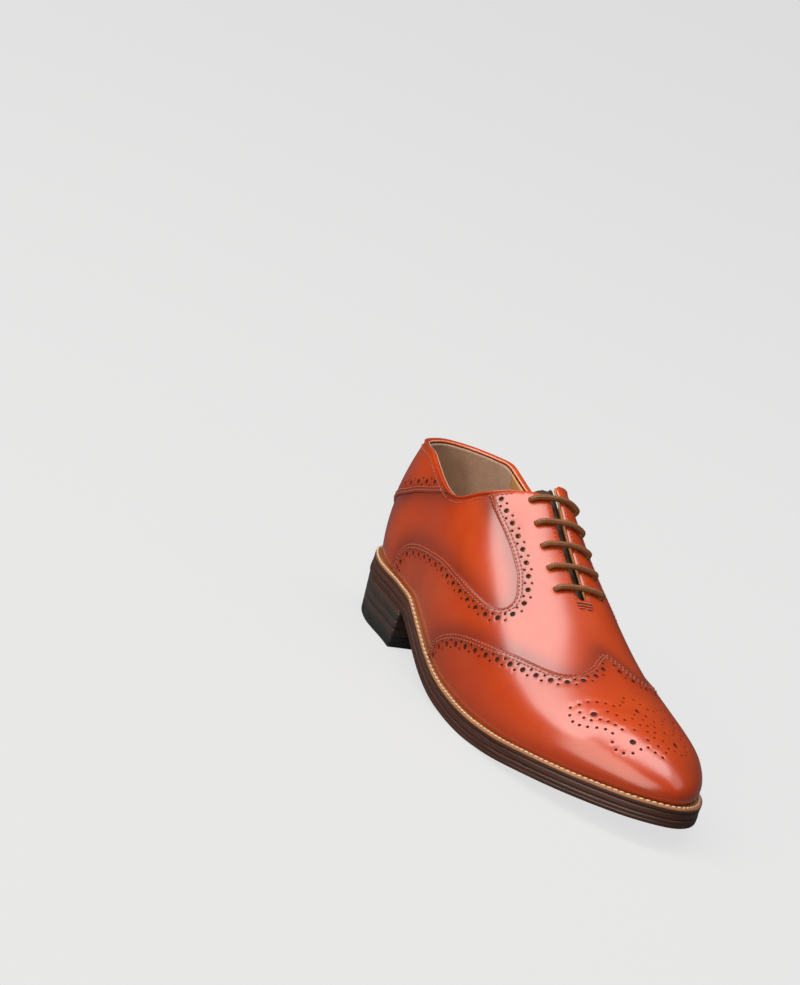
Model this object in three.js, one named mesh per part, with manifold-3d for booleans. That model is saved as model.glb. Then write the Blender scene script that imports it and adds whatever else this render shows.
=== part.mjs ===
// Leather oxford shoe, wing-tip (full brogue), welted on a leather sole with a
// stacked heel.  Millimetres, +Z up, +X towards the toe, right foot: the outer
// (lateral) side of the foot is -Y.  While it is built the back of the heel is
// at x = 0 and the ground is z = 0; the last lines move the origin to the
// bottom centre of the whole shoe.
import * as THREE from 'three';
import { mergeVertices } from 'three/addons/utils/BufferGeometryUtils.js';
import Module from 'manifold-3d';

const wasm = await Module();
wasm.setup();

// ---------------------------------------------------------------- dimensions
const GAP = 0.3; // air left between neighbouring pieces

// sole plan: [x, distance from the axis y = 0] on the outer and inner side
const OUTER_EDGE = [[2, 9], [9, 20.5], [30, 30.8], [60, 35], [95, 41.5], [130, 47.5], [165, 50.5],
  [195, 51], [225, 48.2], [255, 39.2], [282, 24.4], [298, 10]];
const TIP = [305.7, 8.2];
const INNER_EDGE = [[301, 22], [285, 37], [260, 49.5], [232, 55], [205, 53.5], [175, 47], [145, 38.5],
  [115, 32.5], [85, 30.5], [55, 32.8], [28, 32], [8, 19.5], [2, 9]];

// underside of the sole above the ground, along the shoe: heel seat, waist,
// tread and toe spring
const SOLE_UNDERSIDE = [[0, 22.5], [70, 22.5], [78, 22.5], [84, 21.8], [94, 18.7], [110, 13.2], [128, 7.4],
  [146, 3], [164, 0.9], [178, 0.2], [190, 0.2], [200, 0.7], [216, 2], [240, 4.9], [275, 8.8], [306, 12.3]];
const OUTSOLE = 4.5;
const MIDSOLE = 3;
const WELT = 2.9;
const CORK = 2;
const INSOLE = 2.5;
const SOCK = 1;
const WELT_SHELF = [[0, 2.4], [80, 2.9], [130, 3.5], [190, 4.9], [260, 5.2], [306, 6.8]];
const UNDER_UPPER = 4.2; // the welt runs this far in under the upper
const SOLE_STACK = OUTSOLE + MIDSOLE + WELT + 2 * GAP;

// spring steel shank under the arch
const SHANK = 1.2;
const SHANK_FROM = 58;
const SHANK_TO = 158;
const SHANK_HALF_WIDTH = 7;

// heel stack
const HEEL_BREAST = 76;
const TOP_PIECE = 6;
const LIFT = 4.7;

// last: height of the ridge over the instep, side-wall fullness of each
// section, and how far the wall swells over the feather line
const HEEL_PIVOT = 34;
const TOE_PIVOT = 262;
const RIDGE = [[34, 128], [75, 132], [112, 118.5], [140, 100], [170, 82], [200, 66.2], [230, 55.6],
  [262, 48.6], [300, 41]];
const FULLNESS = [[0, 2.9], [60, 2.7], [110, 2.7], [160, 2.6], [215, 2.3], [262, 2.4], [300, 2.4]];
const SWELL_OUTER = [[0, 3.2], [60, 3.2], [120, 3.8], [180, 3], [240, 2.2], [306, 2.2]];
const SWELL_INNER = [[0, 3], [60, 3.4], [110, 8], [150, 7], [190, 3.2], [240, 2.8], [306, 2.3]];
const AXIS_TOE = 3.3; // sideways swing of the ridge line towards the big toe

// leathers
const CALF = 1.4;
const LINING = 1.0;
const STIFFENER = 1.1;
const TONGUE = 1.8;

// seams: side-view points [x, z] or, over the top, plan points [x, 'y', side offset]
const TOPLINE = [[-6, 100], [8, 99.5], [24, 100.5], [36, 101.2], [46, 98.6], [58, 95.3], [70, 93.4],
  [80, 93.2], [88, 95], [94, 98.2], [99, 102], [104, 105.4], [110, 109.4], [116, 113.6], [121, 118],
  [126, 124]];
const WING_LINE = [[128.5, 24.5], [132, 30.5], [139, 36], [146, 39.9], [154, 42.9], [165, 45.6], [180, 48],
  [195, 50.3], [207, 'y', 35.2], [213, 'y', 32], [218.5, 'y', 27.5], [221, 'y', 21.5], [218.6, 'y', 13.5],
  [212.6, 'y', 7], [206.5, 'y', 0.4]];
const QUARTER_LINE = [[104.3, 105.6], [113, 101.6], [122, 98], [131, 94], [140, 89.4], [147, 85.4],
  [154, 81.2], [160, 76.6], [164.6, 72.6], [167, 69], [166.6, 65.8], [163, 63.6], [156, 62.9], [146, 63.4],
  [134, 64.8], [120, 66], [105, 66.2], [90, 64.2], [76, 61.4], [64, 57.8], [55, 53.2], [50, 47.6],
  [48, 41.4], [47.2, 35.4]];
const BACKSTAY_LINE = [[78, 93.4], [68, 89.4], [56, 84.4], [44, 79.6], [34, 74.4]];
// [degrees round the heel, z]
const BACKSTAY_STRIP = [[120, 67.5], [142, 60.5], [151, 53], [156, 45], [159, 38], [160, 33]];

// facings, eyelets and lace
const THROAT_TOP = 108;
const THROAT_END = 175;
const THROAT_HALF_WIDTH = 3.1;
const EYELET_X = [121.5, 133.5, 145.5, 157.5, 169.5];
const EYELET_SIDE = 14.4;
const LACE_RADIUS = 1.5;
const LACE_HOLE = 2.05;
const AGLET = 12;
const AGLET_RADIUS = 1.3;

// ------------------------------------------------------------ curve helpers
// smooth curve through [x, value] pairs, level beyond its ends
function profile(table) {
  const slopes = table.map((p, i) => {
    const a = table[Math.max(i - 1, 0)];
    const b = table[Math.min(i + 1, table.length - 1)];
    return (b[1] - a[1]) / (b[0] - a[0]);
  });
  return (x) => {
    if (x <= table[0][0]) return table[0][1];
    const last = table.length - 1;
    if (x >= table[last][0]) return table[last][1];
    let i = 0;
    while (x > table[i + 1][0]) i += 1;
    const h = table[i + 1][0] - table[i][0];
    const t = (x - table[i][0]) / h;
    const a = (1 + 2 * t) * (1 - t) ** 2;
    const b = t * (1 - t) ** 2;
    const c = t * t * (3 - 2 * t);
    const d = t * t * (t - 1);
    return a * table[i][1] + b * h * slopes[i] + c * table[i + 1][1] + d * h * slopes[i + 1];
  };
}

const underside = profile(SOLE_UNDERSIDE);
const weltShelf = profile(WELT_SHELF);
const ridge = profile(RIDGE);
const fullness = profile(FULLNESS);
const swellOuter = profile(SWELL_OUTER);
const swellInner = profile(SWELL_INNER);
const axisY = (x) => AXIS_TOE * THREE.MathUtils.clamp((x - HEEL_PIVOT) / (TOE_PIVOT - HEEL_PIVOT), 0, 1);
const weltTop = (x) => underside(x) + SOLE_STACK;

// the sole plan as one dense closed line
const planPoints = [[0, 0], ...OUTER_EDGE.map(([x, y]) => [x, -y]), TIP, ...INNER_EDGE];
const planCurve = new THREE.CatmullRomCurve3(
  planPoints.map(([x, y]) => new THREE.Vector3(x, y, 0)), true, 'centripetal');
const plan = planCurve.getPoints(900);

// distance from a point along a direction to the sole plan
function reach(cx, cy, dx, dy) {
  let best = 0;
  for (let i = 0; i < plan.length - 1; i += 1) {
    const ax = plan[i].x - cx;
    const ay = plan[i].y - cy;
    const bx = plan[i + 1].x - cx;
    const by = plan[i + 1].y - cy;
    const sideA = dx * ay - dy * ax;
    const sideB = dx * by - dy * bx;
    if (sideA * sideB > 0 || sideA === sideB) continue;
    const t = sideA / (sideA - sideB);
    const r = dx * (ax + t * (bx - ax)) + dy * (ay + t * (by - ay));
    if (r > best) best = r;
  }
  return best;
}

// ------------------------------------------------------------- last surface
// g goes round the shoe: 0..1 outer side from heel to toe, 1..2 round the toe,
// 2..3 inner side back to the heel, 3..4 round the heel
const stationCache = new Map();
function station(gIn) {
  const g = ((gIn % 4) + 4) % 4;
  const key = g.toFixed(6);
  if (stationCache.has(key)) return stationCache.get(key);
  const length = TOE_PIVOT - HEEL_PIVOT;
  let cx;
  let angle;
  if (g <= 1) {
    cx = HEEL_PIVOT + g * length;
    angle = -Math.PI / 2;
  } else if (g < 2) {
    cx = TOE_PIVOT;
    angle = -Math.PI / 2 + (g - 1) * Math.PI;
  } else if (g <= 3) {
    cx = TOE_PIVOT - (g - 2) * length;
    angle = Math.PI / 2;
  } else {
    cx = HEEL_PIVOT;
    angle = Math.PI / 2 + (g - 3) * Math.PI;
  }
  const cy = axisY(cx);
  const dx = Math.abs(Math.cos(angle)) < 1e-9 ? 0 : Math.cos(angle);
  const dy = Math.sin(angle);
  const edge = reach(cx, cy, dx, dy);
  const shelf = weltShelf(cx + edge * dx);
  const feather = edge - shelf;
  const fx = cx + feather * dx;
  const inner = 0.5 + 0.5 * dy;
  const s = {
    g, cx, cy, dx, dy, edge, feather,
    n: fullness(fx),
    swell: swellOuter(fx) * (1 - inner) + swellInner(fx) * inner,
    base: weltTop(fx),
  };
  stationCache.set(key, s);
  return s;
}

function lastPoint(g, v) {
  const s = station(g);
  const phi = (Math.min(Math.max(v, 0), 1) * Math.PI) / 2;
  const up = v <= 0 ? 0 : Math.sin(phi) ** (2 / s.n);
  const out = v >= 1 ? 0 : Math.cos(phi) ** (2 / s.n);
  const r = s.feather * out + s.swell * 6.75 * up * (1 - up) ** 2;
  const x = s.cx + r * s.dx;
  return new THREE.Vector3(x, s.cy + r * s.dy, s.base + (ridge(x) - s.base) * up);
}

function lastNormal(g, v) {
  const eg = 0.004;
  const ev = 0.006;
  const w = Math.min(v, 1 - ev);
  const a = lastPoint(g + eg, w).sub(lastPoint(g - eg, w));
  const b = lastPoint(g, w + ev).sub(lastPoint(g, Math.max(w - ev, 0.002)));
  const n = a.cross(b).normalize();
  if (v > 0.985) n.set(n.x, 0, n.z).normalize();
  return n;
}

// point at a signed distance outside (+) or inside (-) the last surface
function skin(g, v, off) {
  const p = lastPoint(g, v);
  const n = lastNormal(g, v);
  if (v < 0.12) n.lerp(new THREE.Vector3(n.x, n.y, 0).normalize(), 1 - v / 0.12).normalize();
  p.addScaledVector(n, off);
  if (v <= 0) p.z = station(g).base;
  return p;
}

const sideG = (side, x) => {
  const t = (x - HEEL_PIVOT) / (TOE_PIVOT - HEEL_PIVOT);
  return side < 0 ? t : 3 - t;
};

function bisect(f, lo, hi) {
  let a = lo;
  let b = hi;
  for (let i = 0; i < 40; i += 1) {
    const m = (a + b) / 2;
    if (f(m) > 0) b = m; else a = m;
  }
  return (a + b) / 2;
}

const vAtHeight = (g, z) => bisect((v) => lastPoint(g, v).z - z, 0, 1);
const vAtSide = (g, d) => bisect((v) => d - Math.abs(lastPoint(g, v).y - station(g).cy), 0.3, 1);

// a seam on one side of the shoe, as [g, v] pairs
function seam(points, side) {
  return points.map((p) => {
    const g = sideG(side, p[0]);
    return [g, p[1] === 'y' ? vAtSide(g, p[2]) : vAtHeight(g, p[1])];
  });
}

function smoothSeam(pairs, perSpan = 2) {
  const curve = new THREE.CatmullRomCurve3(
    pairs.map(([g, v]) => new THREE.Vector3(g * 60, v * 100, 0)), false, 'centripetal');
  return curve.getPoints((pairs.length - 1) * perSpan).map((p) => [p.x / 60, p.y / 100]);
}

// ----------------------------------------------------------- solid helpers
function toSolid(geometry) {
  geometry.deleteAttribute('normal');
  geometry.deleteAttribute('uv');
  const merged = mergeVertices(geometry, 1e-4);
  const index = merged.index.array;
  const keep = [];
  for (let i = 0; i < index.length; i += 3) {
    const [a, b, c] = [index[i], index[i + 1], index[i + 2]];
    if (a !== b && b !== c && c !== a) keep.push(a, b, c);
  }
  return new wasm.Manifold(new wasm.Mesh({
    numProp: 3,
    vertProperties: new Float32Array(merged.attributes.position.array),
    triVerts: new Uint32Array(keep),
  }));
}

function toGeometry(solid) {
  const mesh = solid.getMesh();
  const geometry = new THREE.BufferGeometry();
  const points = new Float32Array(mesh.numVert * 3);
  for (let i = 0; i < mesh.numVert; i += 1) {
    for (let k = 0; k < 3; k += 1) points[3 * i + k] = mesh.vertProperties[i * mesh.numProp + k];
  }
  geometry.setAttribute('position', new THREE.BufferAttribute(points, 3));
  geometry.setIndex(new THREE.BufferAttribute(new Uint32Array(mesh.triVerts), 1));
  return geometry;
}

// a box of a x b x c divisions whose points are moved to place(s, t, w), all 0..1
function block(a, b, c, place) {
  const geometry = new THREE.BoxGeometry(1, 1, 1, a, b, c);
  const pos = geometry.attributes.position;
  for (let i = 0; i < pos.count; i += 1) {
    const p = place(pos.getX(i) + 0.5, pos.getY(i) + 0.5, pos.getZ(i) + 0.5);
    pos.setXYZ(i, p.x, p.y, p.z);
  }
  return geometry;
}

// volume sign tells whether a moved block ended up inside out
function volumeOf(geometry) {
  const pos = geometry.attributes.position;
  const index = geometry.index.array;
  const [a, b, c] = [new THREE.Vector3(), new THREE.Vector3(), new THREE.Vector3()];
  let sum = 0;
  for (let i = 0; i < index.length; i += 3) {
    a.fromBufferAttribute(pos, index[i]);
    b.fromBufferAttribute(pos, index[i + 1]);
    c.fromBufferAttribute(pos, index[i + 2]);
    sum += a.dot(b.cross(c));
  }
  return sum / 6;
}

function outward(geometry) {
  if (volumeOf(geometry) < 0) {
    const index = geometry.index.array;
    for (let i = 0; i < index.length; i += 3) {
      const t = index[i];
      index[i] = index[i + 1];
      index[i + 1] = t;
    }
  }
  return geometry;
}

const solidBlock = (a, b, c, place) => toSolid(outward(block(a, b, c, place)));

// a thin sheet of a x b divisions between two faces whose triangles match, so
// that it stays even in thickness where it twists; place(s, t, w), w is 0 or 1
function sheet(a, b, place) {
  const plane = new THREE.PlaneGeometry(1, 1, a, b);
  const flat = plane.attributes.position;
  const points = [];
  for (const w of [1, 0]) {
    for (let i = 0; i < flat.count; i += 1) {
      points.push(...place(flat.getX(i) + 0.5, flat.getY(i) + 0.5, w).toArray());
    }
  }
  const faces = [...plane.index.array];
  for (let i = 0; i < plane.index.count; i += 3) {
    const [p, q, r] = plane.index.array.slice(i, i + 3);
    faces.push(p + flat.count, r + flat.count, q + flat.count);
  }
  const at = (ix, iy) => iy * (a + 1) + ix;
  const rim = [];
  for (let ix = 0; ix < a; ix += 1) rim.push(at(ix, b));
  for (let iy = b; iy > 0; iy -= 1) rim.push(at(a, iy));
  for (let ix = a; ix > 0; ix -= 1) rim.push(at(ix, 0));
  for (let iy = 0; iy < b; iy += 1) rim.push(at(0, iy));
  rim.forEach((p, i) => {
    const q = rim[(i + 1) % rim.length];
    faces.push(p + flat.count, q + flat.count, q, p + flat.count, q, p);
  });
  const geometry = new THREE.BufferGeometry();
  geometry.setAttribute('position', new THREE.Float32BufferAttribute(points, 3));
  geometry.setIndex(faces);
  return toSolid(outward(geometry));
}

// ------------------------------------------------------------ grid on the last
const BODY_STEPS = 14;
const TOE_STEPS = 8;
const HEEL_STEPS = 8;
const RISE = [0, 0.09, 0.2, 0.33, 0.48, 0.63, 0.75, 0.87, 1];
const ROUND = [];
for (let i = 0; i < BODY_STEPS; i += 1) ROUND.push(i / BODY_STEPS);
for (let i = 0; i < TOE_STEPS; i += 1) ROUND.push(1 + i / TOE_STEPS);
for (let i = 0; i < BODY_STEPS; i += 1) ROUND.push(2 + i / BODY_STEPS);
for (let i = 0; i < HEEL_STEPS; i += 1) ROUND.push(3 + i / HEEL_STEPS);

// the whole last, shrunk by an offset, as one closed solid on a flat-ish base
function lastSolid(offset, floorDrop) {
  const rows = RISE.length; // one extra row under the feather closes the base
  const geometry = new THREE.PlaneGeometry(1, 1, ROUND.length, rows);
  const pos = geometry.attributes.position;
  for (let i = 0; i < pos.count; i += 1) {
    const gi = Math.round((pos.getX(i) + 0.5) * ROUND.length) % ROUND.length;
    const row = Math.round((pos.getY(i) + 0.5) * rows);
    const g = ROUND[gi];
    const off = typeof offset === 'function' ? offset(g) : offset;
    const s = station(g);
    let p;
    if (row === 0) {
      p = new THREE.Vector3(s.cx, s.cy, weltTop(s.cx) - floorDrop);
    } else {
      const v = RISE[row - 1];
      p = v === 1 ? new THREE.Vector3(s.cx, s.cy, ridge(s.cx) + off) : skin(g, v, off);
      if (v === 0) p.z -= floorDrop;
    }
    pos.setXYZ(i, p.x, p.y, p.z);
  }
  return toSolid(outward(geometry));
}

// a knife: a thin wall that stands across the skin along a seam
function knife(pairs, { width = GAP, depth = 6, proud = 4, before = 4, after = 4 } = {}) {
  const pts = pairs.map(([g, v]) => skin(g, v, 0));
  const normals = pairs.map(([g, v]) => lastNormal(g, v));
  const tangents = pts.map((_, i) => pts[Math.min(i + 1, pts.length - 1)].clone()
    .sub(pts[Math.max(i - 1, 0)]).normalize());
  if (before > 0) {
    pts.unshift(pts[0].clone().addScaledVector(tangents[0], -before));
    normals.unshift(normals[0]);
    tangents.unshift(tangents[0]);
  }
  if (after > 0) {
    const e = pts.length - 1;
    pts.push(pts[e].clone().addScaledVector(tangents[e], after));
    normals.push(normals[e]);
    tangents.push(tangents[e]);
  }
  const n = pts.length - 1;
  return sheet(n, 1, (s, t, w) => {
    const i = Math.round(s * n);
    const across = tangents[i].clone().cross(normals[i]).normalize();
    return pts[i].clone()
      .addScaledVector(normals[i], -depth + t * (depth + proud))
      .addScaledVector(across, (w - 0.5) * width);
  });
}

// a vertical or sideways prism from an outline
function prism(outline, from, to, view) {
  const shape = new THREE.Shape(outline.map(([a, b]) => new THREE.Vector2(a, b)));
  const geometry = new THREE.ExtrudeGeometry(shape, { depth: to - from, bevelEnabled: false });
  if (view === 'side') { // outline is x, z; depth runs along y
    geometry.rotateX(Math.PI / 2);
    geometry.translate(0, to, 0);
  } else { // outline is x, y; depth runs along z
    geometry.translate(0, 0, from);
  }
  return toSolid(geometry);
}

function pieceAt(solid, g, v, off) {
  const probe = skin(g, v, off);
  let best = null;
  let bestDistance = Infinity;
  for (const part of solid.decompose()) {
    const mesh = part.getMesh();
    const a = new THREE.Vector3();
    const b = new THREE.Vector3();
    const c = new THREE.Vector3();
    const near = new THREE.Vector3();
    const tri = new THREE.Triangle();
    const at = (k, out) => out.set(...mesh.vertProperties.slice(mesh.numProp * k, mesh.numProp * k + 3));
    for (let i = 0; i < mesh.numTri; i += 1) {
      at(mesh.triVerts[3 * i], a);
      at(mesh.triVerts[3 * i + 1], b);
      at(mesh.triVerts[3 * i + 2], c);
      tri.set(a, b, c).closestPointToPoint(probe, near);
      const d = near.distanceTo(probe);
      if (d < bestDistance) { bestDistance = d; best = part; }
    }
  }
  return best;
}

// ------------------------------------------------------------------- looks
const shoe = new THREE.Group();
const LOOKS = {
  calf: [0xa4471b, 0.38, 0],
  lining: [0xa9793f, 0.7, 0],
  suede: [0x8a7d6d, 0.9, 0],
  soleLeather: [0x4a2c20, 0.55, 0],
  welt: [0xb07c4a, 0.6, 0],
  insole: [0xc9a877, 0.75, 0],
  cork: [0x9a7449, 0.95, 0],
  steel: [0x9a9ca0, 0.35, 1],
  heelStack: [0x3a2a25, 0.55, 0],
  rubber: [0x222123, 0.7, 0],
  cord: [0x5d3a24, 0.7, 0],
  thread: [0x4b2417, 0.7, 0],
  stiffener: [0xcabb9c, 0.85, 0],
};

function add(name, solidOrGeometry, look) {
  const geometry = solidOrGeometry.isBufferGeometry ? solidOrGeometry : toGeometry(solidOrGeometry);
  const [color, roughness, metalness] = LOOKS[look];
  const mesh = new THREE.Mesh(geometry, new THREE.MeshStandardMaterial({ color, roughness, metalness }));
  mesh.name = name;
  shoe.add(mesh);
}

// -------------------------------------------------------------- sole layers
// edge of the sole on a side, at x, taken in by an inset
function soleEdge(x, side, inset) {
  return axisY(x) + side * Math.max(reach(x, axisY(x), 0, side) - inset, 0);
}

const fineRound = ROUND.flatMap((g, i) => [g, (g + (ROUND[i + 1] ?? 4)) / 2]);

// a full layer between two heights over the sole's underside
function soleLayer(low, high, inset, x0, x1, steps) {
  return solidBlock(steps, 1, 1, (s, t, w) => {
    const x = x0 + ((x1 - x0) * (1 - Math.cos(Math.PI * s))) / 2;
    const yOuter = soleEdge(x, -1, inset);
    const yInner = soleEdge(x, 1, inset);
    return new THREE.Vector3(x, yOuter + (yInner - yOuter) * t, underside(x) + (w > 0.5 ? high : low));
  });
}

const midLow = OUTSOLE + GAP;
const weltLow = midLow + MIDSOLE + GAP;
add('outsole', soleLayer(0, OUTSOLE, 0, 0.02, TIP[0] - 0.02, 44), 'soleLeather');
add('midsole', soleLayer(midLow, midLow + MIDSOLE, 0.4, 0.45, TIP[0] - 0.45, 44), 'soleLeather');

// welt: a ring of square section from the sole edge to just inside the upper
function ringLayer(low, high, outerInset, innerInset) {
  const around = fineRound;
  const corners = [[outerInset, low], [outerInset, high], [innerInset, high], [innerInset, low]];
  const geometry = new THREE.TorusGeometry(2, 1, corners.length, around.length);
  const pos = geometry.attributes.position;
  for (let i = 0; i < pos.count; i += 1) {
    const s = station(around[(i % (around.length + 1)) % around.length]);
    const [distance, height] = corners[Math.floor(i / (around.length + 1)) % corners.length];
    const r = distance(s);
    const x = s.cx + r * s.dx;
    pos.setXYZ(i, x, s.cy + r * s.dy, underside(x) + height);
  }
  return toSolid(outward(geometry));
}
add('welt', ringLayer(weltLow, weltLow + WELT, (s) => s.edge - 0.1, (s) => s.feather - UNDER_UPPER), 'welt');

// everything inside the welt ring: cork with the shank let into it, then the
// insole and the heel sock
function fillLayer(low, high, distance) {
  const rows = 3;
  const geometry = new THREE.PlaneGeometry(1, 1, fineRound.length, rows);
  const pos = geometry.attributes.position;
  for (let i = 0; i < pos.count; i += 1) {
    const s = station(fineRound[Math.round((pos.getX(i) + 0.5) * fineRound.length) % fineRound.length]);
    const row = Math.round((pos.getY(i) + 0.5) * rows);
    const r = row === 0 || row === rows ? 0 : distance(s);
    const x = s.cx + r * s.dx;
    pos.setXYZ(i, x, s.cy + r * s.dy, underside(x) + (row < 2 ? low : high));
  }
  return toSolid(outward(geometry));
}
const insideWelt = (s) => s.feather - UNDER_UPPER - GAP - 0.1;
const shankBlock = (grow) => solidBlock(12, 1, 1, (s, t, w) => {
  const x = SHANK_FROM - grow + (SHANK_TO - SHANK_FROM + 2 * grow) * s;
  const y = axisY(x) + 0.5 + (t - 0.5) * 2 * (SHANK_HALF_WIDTH + grow);
  const z = w > 0.5 ? SHANK + grow : (grow > 0 ? -1 : 0);
  return new THREE.Vector3(x, y, underside(x) + weltLow + z);
});
const INSOLE_LOW = weltLow + CORK + GAP;
const INSOLE_TOP = INSOLE_LOW + INSOLE;
const sockEnd = prism([[-20, -60], [96, -60], [96, 60], [-20, 60]], 0, 80, 'plan');
add('cork_filler', fillLayer(weltLow, weltLow + CORK, insideWelt).subtract(shankBlock(GAP)), 'cork');
add('shank', shankBlock(0), 'steel');
add('insole', fillLayer(INSOLE_LOW, INSOLE_TOP, insideWelt), 'insole');
const sock = fillLayer(INSOLE_TOP + GAP, INSOLE_TOP + GAP + SOCK, (s) => insideWelt(s) - 1.2);
add('heel_sock', sock.intersect(sockEnd), 'lining');

// heel: top piece, three lifts and the thin rand under the sole
function heelLayer(low, high) {
  const taper = (z) => 1.6 * (1 - z / 22.5); // the stack leans in towards the ground
  return solidBlock(18, 1, 1, (s, t, w) => {
    const z = w > 0.5 ? high : low;
    const breast = HEEL_BREAST - 2.5 * taper(z);
    const back = taper(z) * 1.2 + 0.3;
    const x = back + (breast - back) * (1 - Math.cos((Math.PI * s) / 2));
    const inset = 0.5 + taper(z);
    const plan0 = x <= back + 1e-6 ? 0 : 1;
    const squeeze = (side) => axisY(x)
      + side * plan0 * Math.max(reach(Math.max(x - back, 0.02), 0, 0, side) - inset, 0);
    const yOuter = squeeze(-1);
    const yInner = squeeze(1);
    return new THREE.Vector3(x, yOuter + (yInner - yOuter) * t, z);
  });
}
let level = 0;
add('heel_top_piece', heelLayer(level, TOP_PIECE), 'rubber');
level = TOP_PIECE + GAP;
for (let i = 1; i <= 3; i += 1) {
  add(`heel_lift_${i}`, heelLayer(level, level + LIFT), 'heelStack');
  level += LIFT + GAP;
}
add('heel_rand', heelLayer(level, 22.5 - GAP), 'welt');

// ----------------------------------------------------------------- uppers
const liningOffset = (g) => {
  // the lining stands in under the toe puff and the heel counter
  const x = station(g).cx + station(g).feather * station(g).dx;
  const toe = THREE.MathUtils.smoothstep(x, 205, 228);
  const heel = 1 - THREE.MathUtils.smoothstep(x, 62, 86);
  return -(CALF + GAP) - (STIFFENER + GAP) * Math.max(toe, heel);
};
const onWelt = (drop) => drop - 2 * GAP; // shells start just above the welt
const outerLast = lastSolid(0, onWelt(0));
const calfInside = lastSolid(-CALF, 3);
const liningOutside = lastSolid(liningOffset, onWelt(0));
const liningInside = lastSolid((g) => liningOffset(g) - LINING, 3);

// the opening for the foot, with its rim
const openingOutline = [...TOPLINE, [140, 190], [-30, 190], [-30, 100]];
const opening = prism(openingOutline, -80, 80, 'side');
// the slit between the facings, with a rounded end
function throatPrism(half, end) {
  const outline = [];
  for (let x = THROAT_TOP - 16; x <= end - half; x += 12) outline.push([x, axisY(x) - half]);
  for (let k = 0; k <= 4; k += 1) {
    const a = -Math.PI / 2 + (Math.PI * k) / 4;
    outline.push([end - half + half * Math.cos(a), axisY(end) + half * Math.sin(a)]);
  }
  for (let x = end - half; x >= THROAT_TOP - 16; x -= 12) outline.push([x, axisY(x) + half]);
  return prism(outline, 60, 150, 'plan');
}

// lace holes square through the facings
const eyelets = [];
for (const side of [-1, 1]) {
  EYELET_X.forEach((x, i) => {
    const g = sideG(side, x);
    const v = vAtSide(g, EYELET_SIDE);
    eyelets.push({ side, row: i + 1, g, v, at: lastPoint(g, v), normal: lastNormal(g, v) });
  });
}
const UP = new THREE.Vector3(0, 0, 1);
function alongNormal(geometry, e, off) {
  geometry.rotateX(Math.PI / 2);
  geometry.applyQuaternion(new THREE.Quaternion().setFromUnitVectors(UP, e.normal));
  const p = e.at.clone().addScaledVector(e.normal, off);
  geometry.translate(p.x, p.y, p.z);
  return geometry;
}
let laceHoles = null;
for (const e of eyelets) {
  const hole = toSolid(alongNormal(new THREE.CylinderGeometry(LACE_HOLE, LACE_HOLE, 9, 8), e, -1));
  laceHoles = laceHoles ? laceHoles.add(hole) : hole;
}

const trim = (shell, throatEnd) => shell.subtract(opening)
  .subtract(throatPrism(THROAT_HALF_WIDTH, throatEnd)).subtract(laceHoles);
let calf = trim(outerLast.subtract(calfInside), THROAT_END);
for (const side of [-1, 1]) {
  calf = calf.subtract(knife(smoothSeam(seam(WING_LINE, side), 1), { before: 12, after: 3 }));
  calf = calf.subtract(knife(smoothSeam(seam(QUARTER_LINE, side), 1), { before: 6, after: 12 }));
  // from the collar down the back, counted on round the heel from the outer side
  const strip = BACKSTAY_STRIP.map(([degrees, z]) => {
    const g = side < 0 ? 4 - (degrees - 90) / 180 : 3 + (degrees - 90) / 180;
    return [g, vAtHeight(g, z)];
  });
  const path = [...seam(BACKSTAY_LINE, side).map(([g, v]) => [side < 0 ? g + 4 : g, v]), ...strip];
  calf = calf.subtract(knife(path, { before: 5, after: 12 }));
}
add('wing_cap', pieceAt(calf, 1.5, 0.4, -0.5), 'calf');
add('vamp', pieceAt(calf, sideG(-1, 190), 0.8, -0.5), 'calf');
add('quarter_lateral', pieceAt(calf, sideG(-1, 90), 0.35, -0.5), 'calf');
add('quarter_medial', pieceAt(calf, sideG(1, 90), 0.35, -0.5), 'calf');
add('backstay', pieceAt(calf, 3.5, 0.4, -0.5), 'calf');

// linings: vamp lining, one quarter lining a side and the suede heel grip
let lining = trim(liningOutside.subtract(liningInside), THROAT_END + 5);
for (const side of [-1, 1]) {
  const foreSeam = [[122, 0.01], [122, 0.2], [122, 0.4], [150, 0.62], [178, 0.84], [178, 0.995]];
  const forePairs = foreSeam.map(([x, v]) => [sideG(side, x), v]);
  lining = lining.subtract(knife(forePairs, { depth: 8, before: 12, after: 3 }));
  lining = lining.subtract(knife([[sideG(side, 66), 0.01], [sideG(side, 66), 0.2], [sideG(side, 66), 0.36],
    [sideG(side, 66), 0.5]], { depth: 9, before: 12, after: 6 }));
}
add('vamp_lining', pieceAt(lining, 1.5, 0.4, -3.4), 'lining');
add('quarter_lining_lateral', pieceAt(lining, sideG(-1, 95), 0.35, -2), 'lining');
add('quarter_lining_medial', pieceAt(lining, sideG(1, 95), 0.35, -2), 'lining');
add('heel_grip', pieceAt(lining, 3.5, 0.4, -3.4), 'suede');

// stiffeners between calf and lining
function stiffener(roundFrom, roundTo, riseTo) {
  const span = [];
  for (let k = roundFrom; k <= roundTo; k += 1) span.push(k);
  const n = span.length - 1;
  return sheet(n, riseTo, (s, t, w) => {
    const k = span[Math.round(s * n)];
    const g = ROUND[((k % ROUND.length) + ROUND.length) % ROUND.length];
    const row = Math.round(t * riseTo);
    const v = RISE[row];
    const p = skin(g, v, -(CALF + GAP) - (w > 0.5 ? 0 : STIFFENER));
    if (row === 0) p.z += 2 * GAP;
    return p;
  });
}
const firstHeel = 2 * BODY_STEPS + TOE_STEPS;
add('heel_counter', stiffener(firstHeel - 1, firstHeel + HEEL_STEPS + 1, 3), 'stiffener');
add('toe_puff', stiffener(BODY_STEPS, BODY_STEPS + TOE_STEPS, 6), 'stiffener');

const RING_DEPTH = CALF + GAP + LINING + 3 * GAP;
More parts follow.
